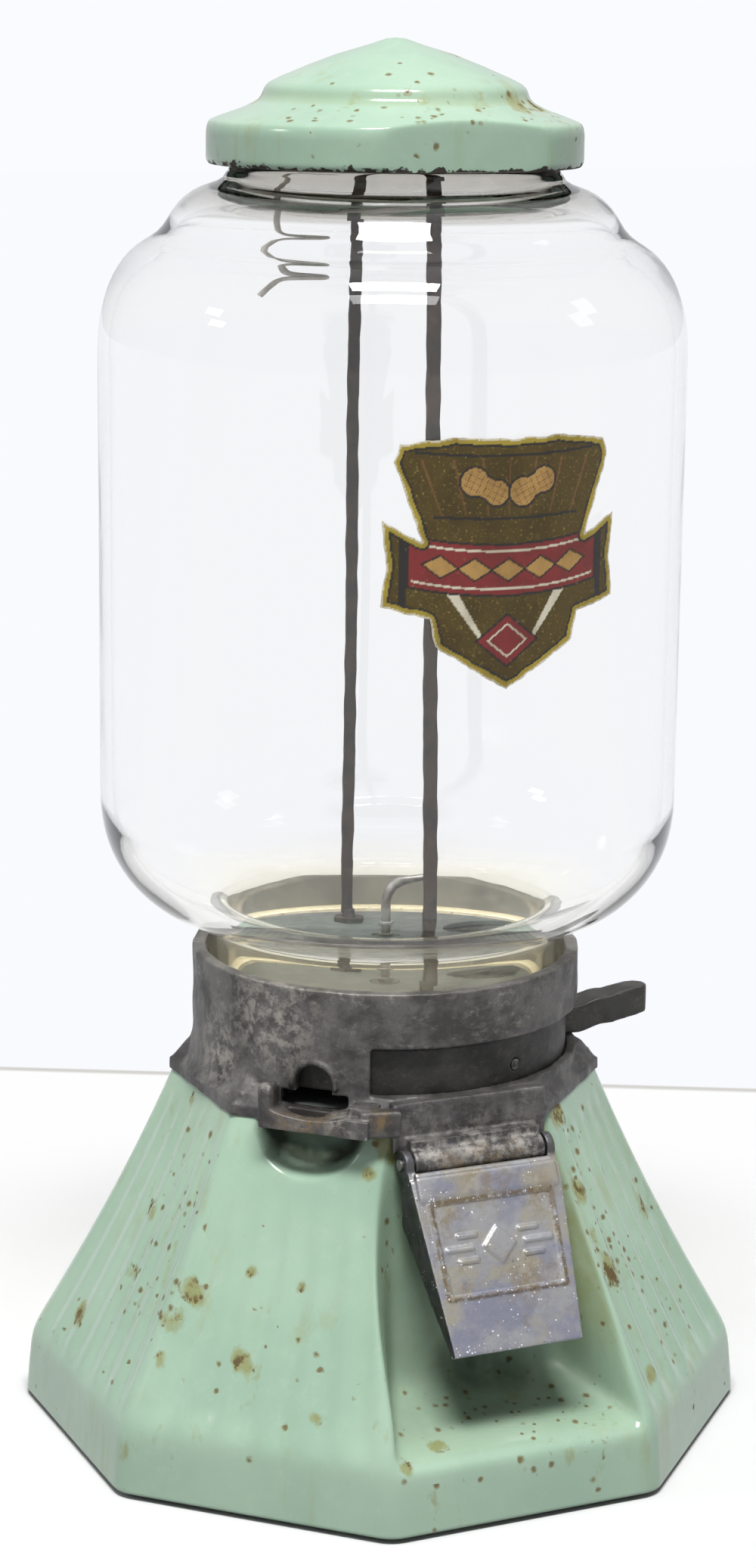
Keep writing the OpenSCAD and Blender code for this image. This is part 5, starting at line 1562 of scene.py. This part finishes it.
@dataclass
class Wires:
    """Bent agitator wire on the shaft and the catch wire under the lid."""

    floor_z: float = 124.3
    sunk: float = 1.5
    stem: float = 18.0
    bend: float = 7.0
    arc: float = 78.0
    tip: float = 6.0
    turn: float = -24.0
    wire_r: float = 1.4
    foot: Outline = ((0.6, 0), (0.8, 0.3), (0.8, 1.6), (0.5, 2))
    ring: Outline = ((0.7, 8), (0.9, 8.4), (0.9, 9.6), (0.6, 10))
    catch_r: float = 0.9
    catch_turns: tuple[Point, ...] = (
        (-14.0, 10.0, 366.0), (-14.0, 10.0, 358.5), (-27.9, 14.8, 357.0), (-27.9, 14.8, 327.0),
        (-15.6, 9.3, 326.5), (-17.2, 5.6, 326.0), (-28.6, 10.8, 325.0), (-33.4, 13.0, 318.0),
    )

    def band(self, name: str, outline: Outline) -> Piece:
        """Solid ring on the agitator's stem, by its reach past the wire and its height."""
        line = [(self.wire_r + out, self.floor_z + up) for out, up in outline]
        return Bench.lathe(name, [(0, line[0][1]), *line, (0, line[-1][1])], 32)

    def agitator(self, finish: Steel) -> None:
        """Bends the agitator from wire, with its two collars."""
        a = math.radians(self.turn)
        rise = np.linspace(-self.sunk, self.stem, 8)
        sweep = np.radians(np.linspace(0, self.arc, 16))[1:]
        far = np.concatenate([np.zeros(8), self.bend * (1 - np.cos(sweep))])
        up = np.concatenate([rise, self.stem + self.bend * np.sin(sweep)])
        end = np.linspace(0, self.tip, 6)[1:]
        far = np.concatenate([far, far[-1] + end * math.sin(sweep[-1])])
        up = np.concatenate([up, up[-1] + end * math.cos(sweep[-1])])
        route = placed(far * math.cos(a), far * math.sin(a), self.floor_z + up)
        piece = Bench.wire("agitator_wire", route, self.wire_r)
        Bench.join(piece, [self.band("agitator_foot", self.foot), self.band("agitator_ring", self.ring)])
        Bench.smooth(piece, 40)
        enlist(piece, finish, Body.ROTOR, Slot.PLAIN, "agitator")

    def catch(self, finish: Steel) -> None:
        """Bends the catch wire."""
        turns = np.array(self.catch_turns)
        legs = [a + (b - a) * t for a, b in zip(turns, turns[1:]) for t in (0.12, 0.5, 0.88)]
        route = np.array([turns[0], *legs, turns[-1]])
        piece = Bench.wire("catch_wire", route, self.catch_r)
        enlist(piece, finish, Body.LID, Slot.RUST, "lid_catch")


@dataclass
class Lid:
    """Enamelled lid with a rolled rim, flattened front and back, and a tiered crown."""

    radius: float = 50.4
    flat: float = 44.6
    flat_round: float = 1.2
    low: float = 349.7
    rim_h: float = 10.6
    crown: float = 22.5
    wall: float = 2.3
    seat_r: float = 43.5
    seat_z: float = 351.9
    seat_gap: float = 0.1
    groove_r: float = 36.2
    points: int = 110
    rim: Outline = ((0.9, 0), (0.3, 0.35), (0, 1.2), (0, 4), (0, 8.4), (0.25, 10))
    steps: Outline = (
        (0.985, 0.03), (0.945, 0.07), (0.8, 0.185), (0.73, 0.265), (0.708, 0.32), (0.692, 0.42),
        (0.668, 0.475), (0.61, 0.54), (0.45, 0.69), (0.316, 0.804), (0.135, 0.925), (0.05, 0.99), (0.0, 1.0),
    )

    def outline(self) -> Array:
        """Evenly spaced points from the rim's lower edge to the crown's tip."""
        rim = [(self.radius - inset, self.low + up) for inset, up in self.rim]
        top = self.low + self.rim_h
        crown = [(share * self.radius, top + height * self.crown) for share, height in self.steps]
        line = spread(np.array(rim + crown), self.points)
        relax(line)
        return line

    def flatten(self, inset: float) -> Move:
        """Move that presses the front and back flat, with soft corners."""

        def move(places: Array) -> Array:
            x, y, z = places.T
            size = soft_min(np.abs(y), np.full(y.shape, self.flat - inset), self.flat_round)
            size = np.where(np.abs(y) > self.flat - 8, size, np.abs(y))
            return placed(x, np.sign(y) * size, z)

        return move

    def shade_and_grime(self, places: Array) -> Array:
        """Share of painted shade: on the rim, most at its right."""
        x, _, z = places.T
        top = self.low + self.rim_h
        return (0.05 + 0.09 * ramp(x, -12, 45)) * (1 - ramp(z, top - 1.5, top + 1.5))

    def tarnish(self, places: Array) -> Array:
        """Share of olive tarnish: in the groove below the upper tier."""
        x, y, z = places.T
        return 0.2 * np.exp(-(((np.hypot(x, y) - self.groove_r) / 1.3) ** 2)) * (z > self.low + self.rim_h)

    def build(self, finish: Enamel) -> None:
        """Presses the lid and its inner shoulder."""
        piece = Bench.lathe("enamelled_lid", self.outline(), 256)
        Bench.push(piece, self.flatten(0.0))
        Bench.finish(piece, "SOLIDIFY", thickness=self.wall * MM, offset=-1.0)
        inset = self.wall + self.seat_gap
        inner, outer = self.seat_r, self.radius - self.wall - self.seat_gap
        low, top = self.seat_z, self.low + self.rim_h
        ring = [(inner, low), (outer, low), (outer, top), (inner, top), (inner, low)]
        seat = Bench.lathe("lid_seat", ring, 128)
        Bench.push(seat, self.flatten(inset))
        Bench.join(piece, [seat])
        # Painted shade on the rim, darker towards the right
        Bench.paint(piece, "shade_and_grime", self.shade_and_grime)
        Bench.paint(piece, "tarnish", self.tarnish)
        Bench.smooth(piece, 50)
        enlist(piece, finish, Body.LID, Slot.ENAMEL, "lid")


@dataclass
class Fittings:
    """Fasteners, plates and works that keep their CAD form, by their finishes."""

    groups: tuple[tuple[Finish, tuple[str, ...]], ...] = (
        (
            Steel("floor_plate", clean=srgb(98, 102, 99), dull=srgb(80, 84, 83), metal=0.2, rough=0.5),
            ("hopper_floor", "wheel_plate"),
        ),
        (
            Steel("yoke_steel", clean=srgb(178, 174, 164), dull=srgb(140, 134, 122), metal=0.3, rough=0.5),
            ("clamp_yoke",),
        ),
        (Steel("wheel_metal", metal=0.7), ("measuring_wheel",)),
        (Rust("fitting_rust"), ("strap_nuts", "yoke_nuts", "catch_rivet")),
        (
            Steel("dull_steel", clean=srgb(92, 90, 88), dull=srgb(62, 58, 54), rough=0.45),
            ("bottom_screws", "body_bolts", "chute_screws", "floor_screws")
            + ("arm_screw", "return_spring", "wheel_shaft"),
        ),
        (
            Steel("plain_steel"),
            ("bottom_plate", "flap_pin", "delivery_chute", "spring_arm", "lock_plug", "lock_cam", "cam_nut"),
        ),
        (
            Steel("dull_brass", clean=srgb(190, 160, 92), dull=srgb(136, 110, 60), rough=0.36),
            ("shaft_bush", "lock_barrel", "lock_nut"),
        ),
        (Casting.dusky("pin_casting"), ("drum_pins",)),
        (Cork("cork_ring"), ("globe_gasket",)),
        (Rubber("pad_rubber"), ("foot_pads",)),
    )

    def build(self) -> None:
        """Dresses all fittings."""
        for finish, nodes in self.groups:
            material = finish.material()
            for name in nodes:
                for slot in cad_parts[name].material_slots:
                    slot.material = material
                LOG.info("fitting %s: %s", name, material.name)


@dataclass
class Studio:
    """Camera, pale floor and soft light of the picture, with lengths in metres but for the camera's."""

    turn: float = -24.468
    distance: float = 922.74
    height: float = 390.03
    tilt: float = 12.812
    pan: float = -0.162
    roll: float = 0.652
    focus_px: float = 4503.95
    long_px: float = 2073.0
    sensor: float = 36.0
    floor_size: float = 14.0
    seam_slope: float = 0.523
    seam_y: float = 0.3332
    shadow_low: float = 0.105
    shadow_high: float = 0.26
    room_level: float = 0.19
    mirror_level: float = 0.65
    pale: Colour = srgb(254, 254, 254)
    cool: Colour = srgb(249, 250, 254)
    # Colour of the painted shadow line along the seam
    seam: Colour = srgb(214, 212, 208)
    room: Colour = srgb(250, 251, 254)
    aim: Point = (0.0, 0.0, 0.2)
    lamps: tuple[tuple[str, Point, Span, float], ...] = (
        ("top_box", (-0.4, -0.9, 2.4), (1.05, 0.45), 71.0),
        ("left_box", (-2.2, 0.45, 1.3), (0.3, 0.18), 5.0),
        ("right_box", (1.7, -0.9, 1.3), (0.3, 0.4), 0.7),
    )

    @staticmethod
    def turned(a: Vector, b: Vector, angle: float) -> tuple[Vector, Vector]:
        """Two axes turned towards each other's places by an angle in degrees."""
        c, s = math.cos(math.radians(angle)), math.sin(math.radians(angle))
        return c * a + s * b, c * b - s * a

    def camera(self) -> None:
        """Sets the camera at the picture's angle."""
        a = math.radians(self.turn)
        spot = Vector((self.distance * math.sin(a), -self.distance * math.cos(a), self.height)) * MM
        ahead, right = Vector((-math.sin(a), math.cos(a), 0)), Vector((math.cos(a), math.sin(a), 0))
        up = Vector((0, 0, 1))
        ahead, right = self.turned(ahead, right, self.pan)
        ahead, up = self.turned(ahead, up, -self.tilt)
        right, up = self.turned(right, up, self.roll)
        bpy.ops.object.camera_add(location=spot)
        camera = bpy.context.object
        camera.matrix_world = Matrix.Translation(spot) @ Matrix((right, up, -ahead)).transposed().to_4x4()
        camera.data.sensor_width = self.sensor
        camera.data.lens = self.focus_px / self.long_px * self.sensor
        camera.data.clip_start = 0.05
        bpy.context.scene.camera = camera

    def floor(self) -> None:
        """Lays the pale floor, a shade cooler past the line behind the machine."""
        Bench.clear()
        bpy.ops.mesh.primitive_plane_add(size=self.floor_size)
        floor = Bench.named("studio_floor")
        s = Shade("pale_floor", self.pale)
        line = s.add(s.axis(s.place, 0), self.seam_slope, s.less(s.axis(s.place, 1), self.seam_y))
        s.coat(s.step(line, -0.002, 0.002), self.cool)
        # Painted shadow: a thin grey line along the seam, for the gap at the foot of the backdrop
        s.coat(s.times(s.step(line, -0.006, -0.002), s.step(line, 0.002, -0.0005)), self.seam)
        glow = s.node("Emission", s.colour)
        rays = s.node("LightPath").outputs
        seen = s.most(rays["Is Camera Ray"], rays["Is Transmission Ray"], rays["Is Glossy Ray"])
        s.colour = s.mix(seen, (0.3, 0.3, 0.3, 1.0), (0.8, 0.8, 0.8, 1.0))
        s.set(Roughness=0.9, Specular_IOR_Level=0.1)
        far = s.node("VectorMath", s.place, operation="LENGTH").outputs["Value"]
        s.blend(s.times(seen, s.step(far, self.shadow_low, self.shadow_high)), glow)
        dress(floor, s.material)

    def sky(self) -> None:
        """Lights the room evenly, white where the camera or the glass sees it."""
        world = bpy.data.worlds.new("studio_room")
        bpy.context.scene.world = world
        world.use_nodes = True
        net = Net(world.node_tree)
        rays = net.node("LightPath").outputs
        seen = net.most(rays["Is Camera Ray"], rays["Is Transmission Ray"])
        seen = net.add(rays["Is Glossy Ray"], self.mirror_level, seen)
        level = net.node("MapRange", seen, To_Min=self.room_level, To_Max=1.0).outputs[0]
        net.fill(net.tree.nodes["Background"], Color=self.room, Strength=level)

    def lamp(self, name: str, spot: Point, size: Span, watts: float) -> None:
        """Hangs one soft box.

        Args:
            name: Name of the lamp.
            spot: Its place.
            size: Width and height.
            watts: Its power.
        """
        Bench.clear()
        bpy.ops.object.light_add(type="AREA", location=spot)
        lamp = bpy.context.object
        lamp.name = name
        lamp.rotation_euler = (Vector(self.aim) - Vector(spot)).to_track_quat("-Z", "Y").to_euler()
        lamp.data.shape = "RECTANGLE"
        lamp.data.size, lamp.data.size_y = size
        lamp.data.energy = watts

    def build(self) -> None:
        """Sets up the whole studio."""
        self.camera()
        self.floor()
        self.sky()
        for lamp in self.lamps:
            self.lamp(*lamp)


def main() -> None:
    """Builds the scene."""
    logging.basicConfig(level=logging.INFO, format="%(message)s")
    bpy.context.scene.view_settings.view_transform = "Standard"
    Studio().build()
    BaseCasting().build(Enamel("base_enamel", stains=BASE_STAINS, specks=BASE_SPECKS, soot_and_shade=BASE_SHADE_AND_SOOT))
    Collar().build(Casting("collar_casting", patches=COLLAR_OXIDE, soiled=COLLAR_DIRT))
    LeverDrum().build(Casting.dusky("drum_casting"))
    DeliveryFlap().build(FlapMetal("flap_casting", stained=FLAP_STAINS))
    Globe().build(Glass("globe_glass"))
    Badge().build(Foil("badge_foil"))
    TieStraps().build(Rust("strap_rust"))
    wires = Wires()
    wires.agitator(Steel("agitator_steel"))
    wires.catch(Steel("catch_steel", clean=srgb(192, 188, 182), dull=srgb(152, 147, 139), metal=0.25))
    lid = Lid()
    chipped = {"edge_z": lid.low, "edge_h": 2.2, "edge_keep": 1.3, "rust_from": 0.95}
    lid.build(Enamel("lid_enamel", stains=LID_STAINS, specks=LID_SPECKS, **chipped))
    Fittings().build()


if __name__ == "__main__":
    main()
